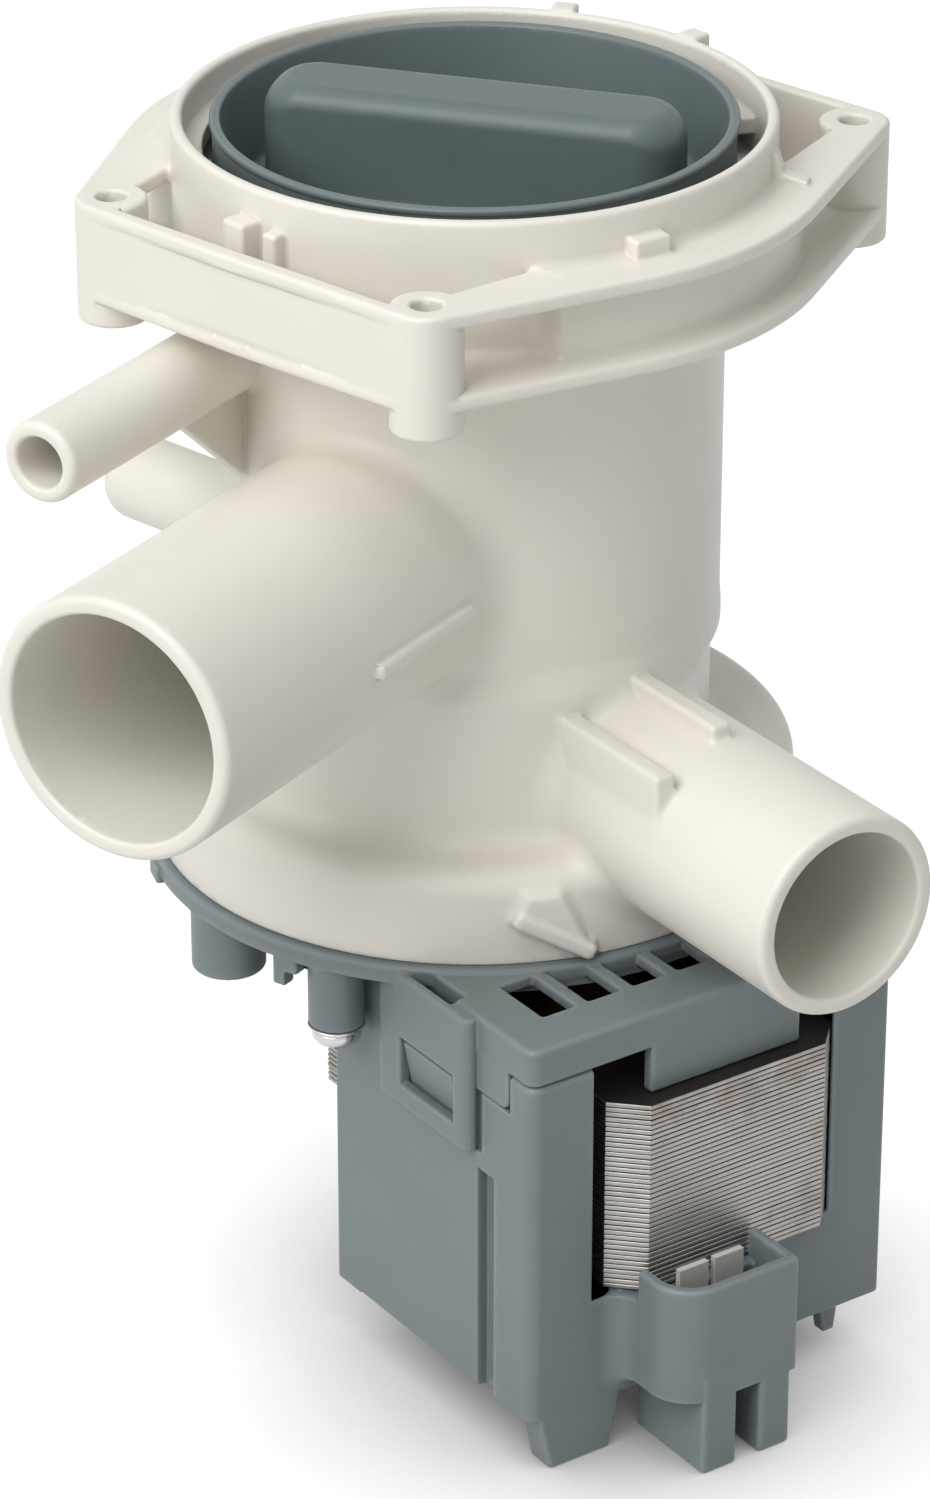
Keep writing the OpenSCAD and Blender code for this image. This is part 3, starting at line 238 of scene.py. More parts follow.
def sampled(field, low, high, step):
    """Field values on a grid: blocks of 4 x 4 x 4 nodes near the surface, and only signs elsewhere."""
    low = np.asarray(low, float)
    count = np.ceil((np.asarray(high, float) - low) / (4 * step)).astype(int) + 1
    axes = [low[i] + (np.arange(count[i]) * 4 + 1.5) * step for i in range(3)]
    middles = np.stack(np.meshgrid(*axes, indexing="ij"), -1).reshape(-1, 3).astype(np.float32)
    coarse = field(middles).reshape(count)
    grid = np.repeat(np.repeat(np.repeat(np.sign(coarse) * step, 4, 0), 4, 1), 4, 2).astype(np.float32)
    close = np.argwhere(np.abs(coarse) < 4 * step)
    offsets = np.stack(np.meshgrid(*[np.arange(4)] * 3, indexing="ij"), -1).reshape(-1, 3)
    view = grid.reshape(count[0], 4, count[1], 4, count[2], 4).transpose(0, 2, 4, 1, 3, 5)
    for part in np.array_split(close, max(1, len(close) // 8000)):
        nodes = low + (part[:, None] * 4 + offsets) * step
        values = field(nodes.reshape(-1, 3).astype(np.float32)).reshape(-1, 4, 4, 4)
        view[part[:, 0], part[:, 1], part[:, 2]] = values
    return low, grid


def nets(low, grid, step):
    """Surface nets: one vertex in each mixed cell, at the mean of its edge crossings, and one quad
    round each crossed grid edge."""
    inside = grid < 0
    n = np.array(grid.shape) - 1
    corner = [(i, j, k) for i in (0, 1) for j in (0, 1) for k in (0, 1)]
    total = sum(inside[i:i + n[0], j:j + n[1], k:k + n[2]].astype(np.int8) for i, j, k in corner)
    cells = np.argwhere((total > 0) & (total < 8))
    number = np.full(n, -1, np.int32)
    number[tuple(cells.T)] = np.arange(len(cells))
    place, hits = np.zeros((len(cells), 3)), np.zeros(len(cells))
    for a in corner:
        for axis in range(3):
            if a[axis]:
                continue
            b = tuple(a[i] + (i == axis) for i in range(3))
            va, vb = grid[tuple((cells + a).T)], grid[tuple((cells + b).T)]
            crossed = (va < 0) != (vb < 0)
            t = np.where(crossed, va / np.where(crossed, va - vb, 1), 0)
            place += (np.array(a) + t[:, None] * (np.array(b) - np.array(a))) * crossed[:, None]
            hits += crossed
    points = low + (cells + place / hits[:, None]) * step
    quads = []
    for axis in range(3):
        ahead = [slice(None)] * 3
        back = [slice(None)] * 3
        ahead[axis], back[axis] = slice(1, None), slice(None, -1)
        edges = np.argwhere(inside[tuple(back)] != inside[tuple(ahead)])
        out = inside[tuple(edges.T)]
        u, v = np.eye(3, dtype=int)[(axis + 1) % 3], np.eye(3, dtype=int)[(axis + 2) % 3]
        ring = np.stack([number[tuple((edges - d).T)] for d in (0 * u, u, u + v, v)], 1)
        quads.append(np.where(out[:, None], ring, ring[:, ::-1]))
    return points, np.concatenate(quads)


def halves(field, points, quads):
    """Each quad as two triangles, along the diagonal whose middle lies closer to the surface."""
    a, b, c, d = quads.T
    off = [np.abs(field((points[i] + points[j]) / 2)) for i, j in ((a, c), (b, d))]
    first = (off[0] <= off[1])[:, None]
    one = np.where(first, np.stack([a, b, c], 1), np.stack([a, b, d], 1))
    two = np.where(first, np.stack([a, c, d], 1), np.stack([b, c, d], 1))
    return np.concatenate([one, two])


def refined(field, points, tris, slack):
    """Splits the edges whose middle lies further than slack from the surface, the worst first, and
    puts the new points on the surface. A triangle becomes two, three or four."""
    ends = np.sort(np.stack([tris, np.roll(tris, -1, 1)], -1), -1).astype(np.int64)
    keys, which = np.unique((ends[..., 0] * len(points) + ends[..., 1]).ravel(), return_inverse=True)
    which = which.reshape(-1, 3)
    middles = (points[keys // len(points)] + points[keys % len(points)]) / 2
    off = np.abs(field(middles))
    room = min(int((off > slack).sum()), max((MOST_TRIANGLES - len(tris)) // 2, 0))
    chosen = np.argsort(-off)[:room]
    number = np.full(len(keys), -1)
    number[chosen] = len(points) + np.arange(room)
    middle = number[which]
    split = (middle >= 0).sum(1)

    def rolled(rows, first):
        """Corners and edge middles of some triangles, each started at its own edge."""
        order = (first[rows][:, None] + np.arange(3)) % 3
        return (*np.take_along_axis(tris[rows], order, 1).T, *np.take_along_axis(middle[rows], order, 1).T)

    parts = [tris[split == 0]]
    a, b, c, ab, _, _ = rolled(split == 1, np.argmax(middle >= 0, 1))
    parts += [np.stack(t, 1) for t in ((a, ab, c), (ab, b, c))]
    a, b, c, ab, bc, _ = rolled(split == 2, np.argmin(middle >= 0, 1) + 1)
    parts += [np.stack(t, 1) for t in ((ab, b, bc), (a, ab, bc), (a, bc, c))]
    a, b, c, ab, bc, ca = rolled(split == 3, np.zeros(len(tris), int))
    parts += [np.stack(t, 1) for t in ((a, ab, ca), (ab, b, bc), (ca, bc, c), (ab, bc, ca))]
    return np.concatenate([points, settle(field, middles[chosen], 0.3)]), np.concatenate(parts)


def skin(name, field, low, high, step, whole=None):
    """Mesh object of a field, fine at its roundings, with the field's own normals and with two
    marks: how far each point bends outwards at an edge, or inwards in a hollow. A field that is
    only part of a body takes these from the whole body, so that no seam shows."""
    whole = whole or field
    step = step
    low, grid = sampled(field, low, high, step)
    points, quads = nets(low, grid, step)
    points = settle(field, points, step)
    tris = halves(field, points, quads)
    for slack in SLACKS:
        points, tris = refined(field, points, tris, slack)
    mesh = bpy.data.meshes.new(name)
    fill(mesh, points, tris)
    piece = bpy.data.objects.new(name, mesh)
    bpy.context.scene.collection.objects.link(piece)
    bend = sum(whole(points + w) for w in np.concatenate([np.eye(3), -np.eye(3)]) * 0.5)
    bend = (bend - 6 * whole(points)) / 0.25
    for label, value in (("edge", bend - 0.35), ("hollow", -bend - 0.25)):
        marks = mesh.attributes.new(label, "FLOAT", "POINT")
        marks.data.foreach_set("value", np.clip(value / 1.6, 0, 1).astype(np.float32))
    mesh.polygons.foreach_set("use_smooth", np.ones(len(mesh.polygons), bool))
    mesh.normals_split_custom_set_from_vertices(gradient(whole, points, 0.12))
    mesh.update()
    print(name, "grid", grid.shape, "quads", len(quads), "triangles", len(tris))
    return piece


def fill(mesh, points, faces):
    """Puts points in millimetres and faces of one size into a mesh."""
    size = faces.shape[1]
    mesh.vertices.add(len(points))
    mesh.vertices.foreach_set("co", (points * MM).astype(np.float32).ravel())
    mesh.loops.add(faces.size)
    mesh.loops.foreach_set("vertex_index", faces.astype(np.int32).ravel())
    mesh.polygons.add(len(faces))
    mesh.polygons.foreach_set("loop_start", np.arange(0, faces.size, size, dtype=np.int32))
    mesh.update(calc_edges=True)


# %% [markdown]
# ## Housing
# The white moulding: a rim with a square flange round it, the filter tube, the pump chamber on its
# foot disc, and three pipes that leave sideways. Sizes are the solid's own, in millimetres. Its mesh
# comes in two parts that overlap inside the tube's wall, so that the flange gets finer triangles.

# %% Housing sizes
RIM_R, RIM_TOP, COLLAR_R, TUBE_R = 33.0, 5.5, 34.4, 28.8
LAND_R, LAND_Z, FILTER_R, FLOOR_Z, ROOF_Z, EYE_R = 30.5, -3.0, 26.8, -54.5, -56.5, 13.0
FLANGE_H, BOSS_H, CORNER_R, BOW_R, WALL = 11.5, 14.5, 4.1, 40.8, 1.8
HOLE_MID, HOLE_HALF = np.array([0.6, -1.6]), np.array([36.8, 23.6])
HOLES = np.array([HOLE_MID + HOLE_HALF * (x, y) for x in (-1, 1) for y in (-1, 1)])
BASE_Z, DISC_TOP, DISC_R, CHAMBER_R, BODY_R = -84.0, -72.5, 38.0, 25.0, 29.0
INLET = dict(turn=188.8, side=2.4, z=-40.3, r=15.3, bore=13.2, reach=75.5)
OUTLET = dict(turn=256.3, side=2.6, z=-68.4, r=12.05, bore=10.0, reach=68.5)
NOZZLE = dict(turn=189.3, side=-16.2, z=-18.4, r=4.75, bore=3.0, reach=62.6)
STUB = dict(turn=90.0, side=21.7, z=-42.6, r=5.05, reach=36.0)
PART_LAP = 0.2


# %% Housing field
def pipe(p, spec, r, start, end, edge=0.0):
    """Rod along a pipe's axis, from one distance to another, in the pipe's own direction."""
    q = turn(p, spec["turn"])
    return rod(q, (start, spec["side"], spec["z"]), (end, spec["side"], spec["z"]), r, edge)


def flange_plan(p, inset=0.0):
    """Flange outline: hull of the bow's circle with each corner's circle, and the square between.
    A hull of two circles is round at each end and straight along their common tangents."""
    r, bow = CORNER_R - inset, BOW_R - inset
    q = np.abs(p[:, :2] - HOLE_MID) - (HOLE_HALF + (r, 0))
    best = np.linalg.norm(np.maximum(q, 0), axis=1) + np.minimum(q.max(1), 0)
    for hole in HOLES:
        h = np.linalg.norm(hole)
        way = hole / h
        along = p[:, :2] @ way
        across = np.abs(p[:, 0] * way[1] - p[:, 1] * way[0])
        b = (bow - r) / h
        a = math.sqrt(1 - b * b)
        k = a * along - b * across
        d = np.where(k < 0, np.hypot(across, along) - bow, a * across + b * along - bow)
        best = np.minimum(best, np.where(k > a * h, np.hypot(across, along - h) - r, d))
    return best


def flange(p):
    """Top ledge with its end pockets, bottom lip, end walls, web behind the bow and corner bosses."""
    z = p[:, 2]
    rho = np.hypot(p[:, 0], p[:, 1])
    plan = flange_plan(p)
    beside = np.abs(p[:, :2] - HOLE_MID) @ np.array([0.2, 0.98], p.dtype)
    pocket = np.maximum(flange_plan(p, WALL), beside - 29.6)
    top = cut(slab(plan, z, -WALL, 0, 0.5), pocket, 0.4)
    lip = slab(plan, z, -FLANGE_H, -FLANGE_H + WALL, 0.6)
    web = slab(np.maximum(rho - COLLAR_R - 3.1, np.abs(p[:, 0]) - 21), z, -FLANGE_H, -0.2, 0.2)
    body = join(join(top, web, 0.5), lip, 0.7)
    y = (HOLE_MID[1] - HOLE_HALF[1], HOLE_MID[1] + HOLE_HALF[1])
    for s in (-1, 1):
        x = HOLE_MID[0] + s * (HOLE_HALF[0] + CORNER_R - WALL / 2)
        body = np.minimum(body, block(p, (x - WALL / 2, x + WALL / 2), y, (-FLANGE_H, 0), 0.5))
    for hole in HOLES:
        body = np.minimum(body, rod(p, (*hole, -BOSS_H), (*hole, 0), CORNER_R, 0.5))
    return body


def rim_tabs(p):
    """Small blocks on the collar, each at its own turn, and one sloping bracket."""
    body = np.full(len(p), 1e9, p.dtype)
    for at, w, reach, top in ((-106, 4.6, 2.6, 2.2), (176, 3.4, 3.4, 2.2), (-177, 2, 2.4, 1.6),
                              (24, 3, 2.8, 5.8), (-5, 3, 2.8, 5.8)):
        q = turn(p, at)
        body = np.minimum(body, block(q, (33.7, 33.7 + reach), (-w / 2, w / 2), (-3.4, top), 0.4))
    q = turn(p, -62)
    side = outline(q[:, 0], q[:, 2], [(33.7, -3.4), (38.5, -3.4), (38.5, 0.5), (35.6, 1.3), (34.9, 3.6),
                                      (33.7, 4)])
    return np.minimum(body, inside_out(side, np.abs(q[:, 1]) - 1.0, 0.25))


def nozzle_web(q):
    """Thin web under the nozzle, in the nozzle's own direction, with a sloping lower edge."""
    side = outline(q[:, 0], q[:, 2], [(10, -18.4), (36, -18.4), (36, -24.15), (23.5, -35.3), (10, -35.3)])
    return inside_out(side, np.abs(q[:, 1] + 16.2) - 0.8, 0.3)


def disc_ramp(q):
    """Soft wedge on the disc's edge with a sloping lip below it, along the direction of X."""
    v, w = q[:, 1], q[:, 2] - BASE_Z
    wedge = outline(v, w, shrunk([(-4.4, 6.6), (4.3, 0.6), (3.9, 3), (1.0, 9.4), (-3.2, 9.4)], 1.0)) - 1.0
    lip = outline(v, w, shrunk([(4.4, 0.05), (5.3, 1.9), (-4.1, 7.6), (-5.0, 5.7)], 0.8)) - 0.8
    wedge = inside_out(wedge, np.abs(q[:, 0] - 36.2) - 2.9, 0.9)
    return join(wedge, inside_out(lip, np.abs(q[:, 0] - 37.2) - 2.4, 0.7), 0.5)


def bayonet_ramps(p):
    """Three parts of a ring inside the rim, under which the cap's lugs turn."""
    parts = [sector(p, at, 60, (30.8, RIM_R + 0.7), (-0.4, 1.6)) for at in (-5, 115, 235)]
    return np.minimum.reduce(parts)


def housing(p):
    """The whole moulding: outside bodies joined with fillets, then hollows cut out of them."""
    z = p[:, 2]
    rho = np.hypot(p[:, 0], p[:, 1])
    collar = [(-5, RIM_TOP), (-5, -FLANGE_H - 3), (TUBE_R, -FLANGE_H - 3), (COLLAR_R, -FLANGE_H),
              (COLLAR_R, RIM_TOP)]
    tube = near(p, (-35, 35), (-35, 35), (-FLANGE_H - 3, RIM_TOP), lambda q: turned(q, collar, 0.55))
    tube = np.minimum(tube, drum(rho, z, TUBE_R, ROOF_Z - 0.4, -8, 0.55))
    chamber = rod(p, (-1.9, 0, BASE_Z + 2), (-1.9, 0, ROOF_Z + 3.4), BODY_R, 2.2)
    disc = inside_out(inside_out(rho - DISC_R, z - DISC_TOP, 3.0), BASE_Z - z, 0.4)
    body = join(join(tube, chamber, 2.0), disc, 3.0)
    body = join(body, pipe(p, INLET, INLET["r"], 0, INLET["reach"], 0.9), 2.2)
    body = join(body, pipe(p, OUTLET, OUTLET["r"], 12, OUTLET["reach"], 0.9), 2.6)
    q = turn(p, OUTLET["turn"])
    ribs = np.minimum(block(q, (18, 45), (1.3, 3.9), (-68.4, -54.45), 0.5),
                      block(q, (18, 47.5), (-8.3, -5.7), (-68.4, -57.05), 0.5))
    ribs = np.minimum(ribs, block(p, (4, 17.9), (-20.2, -16), (-72.9, -60.5), 0.5))
    body = join(body, ribs, 0.8)
    q = turn(p, INLET["turn"])
    body = join(body, block(q, (28.6, 47.4), (2.4, 18.7), (-41.9, -40.1), 0.5), 0.5)
    q = turn(p, NOZZLE["turn"])
    body = join(body, near(q, (10, 36), (-17, -15.4), (-35.3, -18.4), nozzle_web), 0.6)
    body = join(body, pipe(p, STUB, STUB["r"], 0, STUB["reach"], 3.2), 1.0)
    body = join(body, near(p, (-41, 42), (-41, 41), (-BOSS_H, 0), flange), 0.9)
    body = join(body, pipe(p, NOZZLE, NOZZLE["r"], 8, NOZZLE["reach"], 0.9), 1.2)
    body = join(body, near(p, (-39, 39), (-39, 39), (-3.4, 5.8), rim_tabs), 0.4)
    ramp = near(turn(p, -125), (34, 40), (-6, 6), (BASE_Z, BASE_Z + 10), disc_ramp)
    body = join(body, ramp, 0.9)
    hollow = drum(rho, z, CHAMBER_R, -90, ROOF_Z)
    for r, low, high in ((EYE_R, ROOF_Z - 1, 8), (FILTER_R, FLOOR_Z, 8), (LAND_R, -FLANGE_H, 8),
                         (RIM_R, LAND_Z, 9)):
        hollow = np.minimum(hollow, drum(rho, z, r, low, high))
    body = cut(body, hollow, 0.55)
    for spec in (INLET, OUTLET, NOZZLE):
        body = cut(body, pipe(p, spec, spec["bore"], 0, spec["reach"] + 3), 0.5)
    for hole in HOLES:
        body = cut(body, rod(p, (*hole, -BOSS_H - 2), (*hole, 2), 1.7), 0.4)
    ramps = near(p, (-34, 34), (-34, 34), (-0.4, 1.6), bayonet_ramps)
    return np.minimum(body, ramps)


def parting(p):
    """Where the housing's mesh is parted: under the flange's bosses, and clear of the nozzle."""
    return np.maximum(-BOSS_H - 0.7 - p[:, 2], 1.5 - pipe(p, NOZZLE, NOZZLE["r"], 8, NOZZLE["reach"]))


def housing_crown(p):
    """Flange and rim, which have the finest details, down to just past the parting."""
    return np.maximum(housing(p), parting(p) - PART_LAP)


def housing_body(p):
    """Everything below, up to just past the parting, so that the two overlap inside the wall."""
    return np.maximum(housing(p), -parting(p) - PART_LAP)


# %% Housing pieces
def dress(piece, node, body, slot):
    """Lets a piece stand for a CAD node: it rides the node's body and takes its finish."""
    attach(piece, body)
    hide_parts(node)
    DRESSED.append((piece, slot))


def moulded_piece(name, node, body, slot, field, step, whole=None):
    """Skins a field inside its CAD node's box and lets the piece stand for that node."""
    low, high = (np.array(v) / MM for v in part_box(node))
    piece = skin(name, field, low - 1.5, high + 1.5, step, whole)
    dress(piece, node, body, slot)
    return piece


DRESSED = []
moulded_piece("pump_crown", "pump_housing", "housing", "white_plastic", housing_crown, 0.62, housing)
moulded_piece("pump_body", "pump_housing", "housing", "white_plastic", housing_body, 1.0, housing)

# %% [markdown]
# ## Motor
# The blue-grey motor hangs under the foot disc, turned a little about the filter axis. Its top is
# one moulding: a round plate with screw bosses, a plug and can for the rotor, and a square lid with
# vents over the coils. The cover below snaps to it. All sizes are in the motor's own directions.

# %% Motor sizes
MOTOR_TURN = -13.7
LEFT, RIGHT, FRONT, BACK, CASE_WALL = -27.5, 23.5, -50.8, -13.0, 1.6
LID_TOP, LID_UNDER, LID_FOOT = -84.5, -86.9, -89.2
COVER_TOP, COVER_FOOT, FOOT_Z = -89.3, -134.0, -140.8
PLATE_R, PLATE_FOOT, PLUG_TOP, PLUG_R = 39.2, -86.4, -78.5, 24.8
CAN_R, CAN_BORE, CAN_FOOT = 11.3, 10.2, -128.55
STRAP_Y, STRAP_FOOT, STRAP_T = (-40.25, -22.75), -102.0, 1.5
LATCH_Y, LATCH_Z, SIDE_FLAP_Y, SIDE_FLAP_Z = (-37.5, -26.9), (-99.2, -93.0), (-46.3, -40.25), -94.0
SCREW_TURNS, SCREW_CIRCLE = (88.5, 208.5, 328.5), 35.4
PLAIN_TURNS, PLAIN_CIRCLE = (58.5, 118.5, 178.5), 34.5
CORE_HALF, CORE_FRONT, CORE_BACK, CORE_BEVEL, CORE_BORE = 16.2, -53.1, 8.0, 3.7, 11.5
CORE_TOP, SHEETS, SHEET_T = -95.0, 38, 0.65
CORE_FOOT = CORE_TOP - SHEETS * SHEET_T


def on_circle(at, r):
    """Point at a direction in degrees and a radius."""
    return r * math.cos(math.radians(at)), r * math.sin(math.radians(at))


# %% Motor lid field
def casing_plan(q, inset=0.0):
    """Casing seen from above: a rectangle whose front left corner is rounded more than the others."""
    x, y = q[:, 0], q[:, 1]
    corner = inside_out(LEFT + inset - x, FRONT + inset - y, 1.6)
    return inside_out(corner, inside_out(x - RIGHT + inset, y - BACK + inset, 0.5), 0.5)


def coil_lid(q):
    """Lid with its skirt, seven vents that stop at the round plate, the front flap and two straps."""
    x, y, z = q.T
    lid = slab(casing_plan(q), z, LID_FOOT, LID_TOP, 0.55)
    lid = cut(lid, slab(casing_plan(q, CASE_WALL), z, LID_FOOT - 3, LID_UNDER, 0.3), 0.2)
    lid = cut(lid, block(q, (-17.4, 17.4), (BACK - 3.2, 0), (LID_FOOT - 3, LID_UNDER)), 0.2)
    vents = np.full(len(q), 1e9)
    for middle in -19.2 + 6.3 * np.arange(7):
        vents = np.minimum(vents, block(q, (middle - 2.25, middle + 2.25), (-44.4, -36), (-90, -80), 0.3))
    clear = PLATE_R - np.hypot(x, y)
    lid = cut(lid, np.maximum(block(q, (-24, 21), (-46.5, -30), (LID_FOOT - 3, LID_TOP - 1.4)), clear), 0.1)
    lid = cut(lid, np.maximum(vents, clear), 0.25)
    lid = np.minimum(lid, block(q, (-10.8, 10.4), (FRONT, FRONT + CASE_WALL), (-94.95, LID_TOP - 1), 0.3))
    flap = inside_out(np.maximum(SIDE_FLAP_Y[0] - y, y - STRAP_Y[0] - 1), SIDE_FLAP_Z - z, 1.4)
    flap = np.maximum(inside_out(flap, np.abs(x - LEFT - 0.4) - 0.4, 0.25), z - LID_TOP + 1)
    lid = np.minimum(lid, flap)
    for side, wall in ((-1, LEFT), (1, RIGHT)):
        out = side * (x - wall)
        face = inside_out(inside_out(out - STRAP_T - 0.1, STRAP_Y[0] - y, 1.2), y - STRAP_Y[1], 0.3)
        strap = slab(inside_out(face, 0.1 - out, 0.2), z, STRAP_FOOT, LID_TOP - 0.3, 0.4)
        window = np.maximum(np.abs(y - sum(LATCH_Y) / 2) - (LATCH_Y[1] - LATCH_Y[0]) / 2,
                            np.abs(z - sum(LATCH_Z) / 2) - (LATCH_Z[1] - LATCH_Z[0]) / 2)
        strap = cut(strap, window, 0.25)
        root = slab(inside_out(face, -0.8 - out, 0.2), z, LID_FOOT + 0.2, LID_TOP - 0.3, 0.4)
        lid = np.minimum(lid, np.minimum(strap, root))
    return cut(lid, block(q, (LEFT - 0.5, LEFT + 1.5), (-35.7, -24.7), (LID_FOOT + 0.6, -80), 0.2), 0.25)


def motor_top(p):
    """Lid, round plate, plug and can as one moulding, with screw bosses, plain bosses and edge tabs."""
    q = turn(p, MOTOR_TURN)
    plate = rod(q, (0, 0, PLATE_FOOT), (0, 0, BASE_Z), PLATE_R, 0.5)
    body = join(coil_lid(q), plate, 0.3)
    body = np.minimum(body, rod(q, (0, 0, PLATE_FOOT), (0, 0, PLUG_TOP), PLUG_R, 0.4))
    for at in SCREW_TURNS:
        middle = on_circle(at, SCREW_CIRCLE)
        body = join(body, rod(q, (*middle, -94.8), (*middle, -85), 3.3, 0.4), 0.7)
    for at in PLAIN_TURNS:
        middle = on_circle(at, PLAIN_CIRCLE)
        body = join(body, rod(q, (*middle, -94.4), (*middle, -85), 4.4, 0.6), 0.5)
        body = cut(body, rod(q, (*middle, -99), (*middle, -87.4), 1.55), 0.3)
    hook = turn(q, 201)
    notch = block(hook, (36, 40), (0, 3), (-93, -88), 0.3)
    tab = cut(block(hook, (37, 39), (-1.7, 1.7), (-90, -84.8), 0.4), notch, 0.2)
    body = np.minimum(body, tab)
    body = np.minimum(body, block(turn(q, 162), (37, 39.7), (-1.7, 1.7), (-87, -84.8), 0.4))
    body = join(body, rod(q, (0, 0, CAN_FOOT), (0, 0, BASE_Z - 0.4), CAN_R, 1.0), 0.6)
    body = cut(body, rod(q, (0, 0, CAN_FOOT + 1.1), (0, 0, -70), CAN_BORE), 0.1)
    return cut(body, rod(q, (0, 0, -81.35), (0, 0, -70), 14.2), 0.2)


# %% Motor cover field
def core_plan(q, grow=0.0):
    """Outer outline of the core seen from above: a rectangle with two bevelled front corners."""
    half, front = CORE_HALF + grow, CORE_FRONT - grow
    left = [(-half, CORE_BACK), (-half, front + CORE_BEVEL), (-half + CORE_BEVEL, front)]
    return outline(q[:, 0], q[:, 1], left + [(-x, y) for x, y in left[::-1]])


def plug_socket(q):
    """Socket in front of the cover, lower where it meets the casing, with one broad round corner."""
    x, y, z = q.T
    corner = inside_out(-14.5 - x, -61.8 - y, 5.4)
    upper = slab(inside_out(corner, inside_out(x - 2.7, y + 53.6, 0.5), 0.5), z, -131.1, -115.9, 0.45)
    lower = slab(inside_out(corner, inside_out(x - 2.7, y + 50.4, 0.5), 0.5), z, -131.1, -119.95, 0.2)
    return np.minimum(upper, lower)


def socket_pocket(q):
    """Pocket in the socket with the same round corner, open towards the core above the sill."""
    x, y, z = q.T
    corner = inside_out(-13.2 - x, -60.5 - y, 4.2)
    deep = slab(inside_out(corner, inside_out(x - 1.4, y + 54.9, 0.6), 0.6), z, -125.4, -105, 0.6)
    back = slab(inside_out(corner, inside_out(x - 1.4, y + 53.2, 0.3), 0.3), z, CORE_FOOT, -105, 0.3)
    return np.minimum(deep, back)


def motor_case(p):
    """Open box round the coils: a window for the core in front, snap noses, feet and the socket."""
    q = turn(p, MOTOR_TURN)
    x, y, z = q.T
    body = slab(casing_plan(q), z, COVER_FOOT, COVER_TOP, 0.7)
    body = cut(body, slab(casing_plan(q, CASE_WALL), z, COVER_FOOT + CASE_WALL, COVER_TOP + 3, 0.6), 0.2)
    sill = CORE_FOOT - 0.05
    depth = y - FRONT
    window = np.maximum(np.maximum(-18.8 - x, x - 15.4), np.maximum(depth - 4.8, sill - z))
    slope = (sill - z - depth) * math.sqrt(0.5)
    chamfer = np.maximum(np.maximum(-18.8 - x, x + 15), np.maximum(slope, depth - 4.8))
    body = cut(body, np.minimum(window, chamfer), 0.2)
    body = cut(body, np.maximum(core_plan(q, 0.1), sill - z), 0.15)
    wing = block(q, (LEFT, LEFT + CASE_WALL), (BACK - 3, BACK + 2), (COVER_FOOT, COVER_TOP), 0.4)
    rib = (LEFT + 0.8, LEFT + 2 * CASE_WALL), (-44.65, -39.05), (COVER_FOOT + 0.4, STRAP_FOOT - 1)
    body = np.minimum(body, np.minimum(wing, block(q, *rib, 0.4)))
    groove = block(q, (LEFT - 3, LEFT + 1.5), (-43.45, STRAP_Y[0]), (COVER_FOOT - 3, STRAP_FOOT - 2.3), 0.1)
    recess = block(q, (LEFT - 3, LEFT + 0.9), (SIDE_FLAP_Y[0] - 0.25, STRAP_Y[0] + 0.1),
                   (SIDE_FLAP_Z - 0.12, -80), 0.1)
    slit = block(q, (LEFT - 3, LEFT + 0.8), (STRAP_Y[0] - 0.75, STRAP_Y[0] + 0.5), (STRAP_FOOT, -80), 0.1)
    body = cut(body, np.minimum(np.minimum(groove, recess), slit), 0.2)
    for side, wall in ((-1, LEFT), (1, RIGHT)):
        low, high = LATCH_Z[0] + 0.4, LATCH_Z[1] - 0.4
        slope = [(-side * 0.4, low), (side * 0.3, low), (side * 1.4, high), (-side * 0.4, high)]
        body = np.minimum(body, prism(x - wall, z, y, slope, LATCH_Y[0] + 0.4, LATCH_Y[1] - 0.4, 0.2))
    foot = [(-26.7, -131), (-24.5, FOOT_Z), (-16.1, FOOT_Z), (-13.9, -131)]
    foot = prism(x, z, y, foot, FRONT, FRONT + 4, 0.45)
    body = np.minimum(body, np.where(z < COVER_FOOT + 0.4, foot, np.maximum(foot, casing_plan(q))))
    fin = [(15.5, -133), (16.4, -137.8), (18, -137.8), (18.7, -133)]
    body = np.minimum(body, prism(x, z, y, fin, FRONT + 1.4, FRONT + 3.2, 0.25))
    tail = block(q, (-12, 9), (BACK - CASE_WALL, 7), (COVER_FOOT, COVER_FOOT + CASE_WALL), 0.4)
    body = np.minimum(body, tail)
    for middle in (-9, 6):
        body = join(body, rod(q, (middle, 4, FOOT_Z), (middle, 4, COVER_FOOT + 0.8), 2.5, 0.5), 0.5)
    socket = plug_socket(q)
    filled = np.maximum(join(body, socket, 3.0), z - sill + 0.2)
    body = np.minimum(np.minimum(body, socket), filled)
    for legs in ((-10.7, -5.9), (-2.6, 1.8)):
        body = np.minimum(body, block(q, legs, (-61.8, -48.8), (FOOT_Z, -128), 0.45))
    body = cut(body, socket_pocket(q), 0.35)
    for blade in (-8.4, -3.4):
        body = cut(body, block(q, (blade - 2.1, blade + 2.1), (-56.45, -55.55), (-128.4, -120)), 0.05)
    return body


# %% Motor pieces
moulded_piece("motor_lid", "motor_flange", "housing", "blue_grey_plastic", motor_top, 0.6)
moulded_piece("motor_box", "motor_cover", "housing", "blue_grey_plastic", motor_case, 0.6)

# %% [markdown]
# ## Filter cap
# A dish with a sloping wall and a grip bar across it. Its skirt, with the seal's groove and three
# bayonet lugs, is hidden in the rim until the filter is pulled.

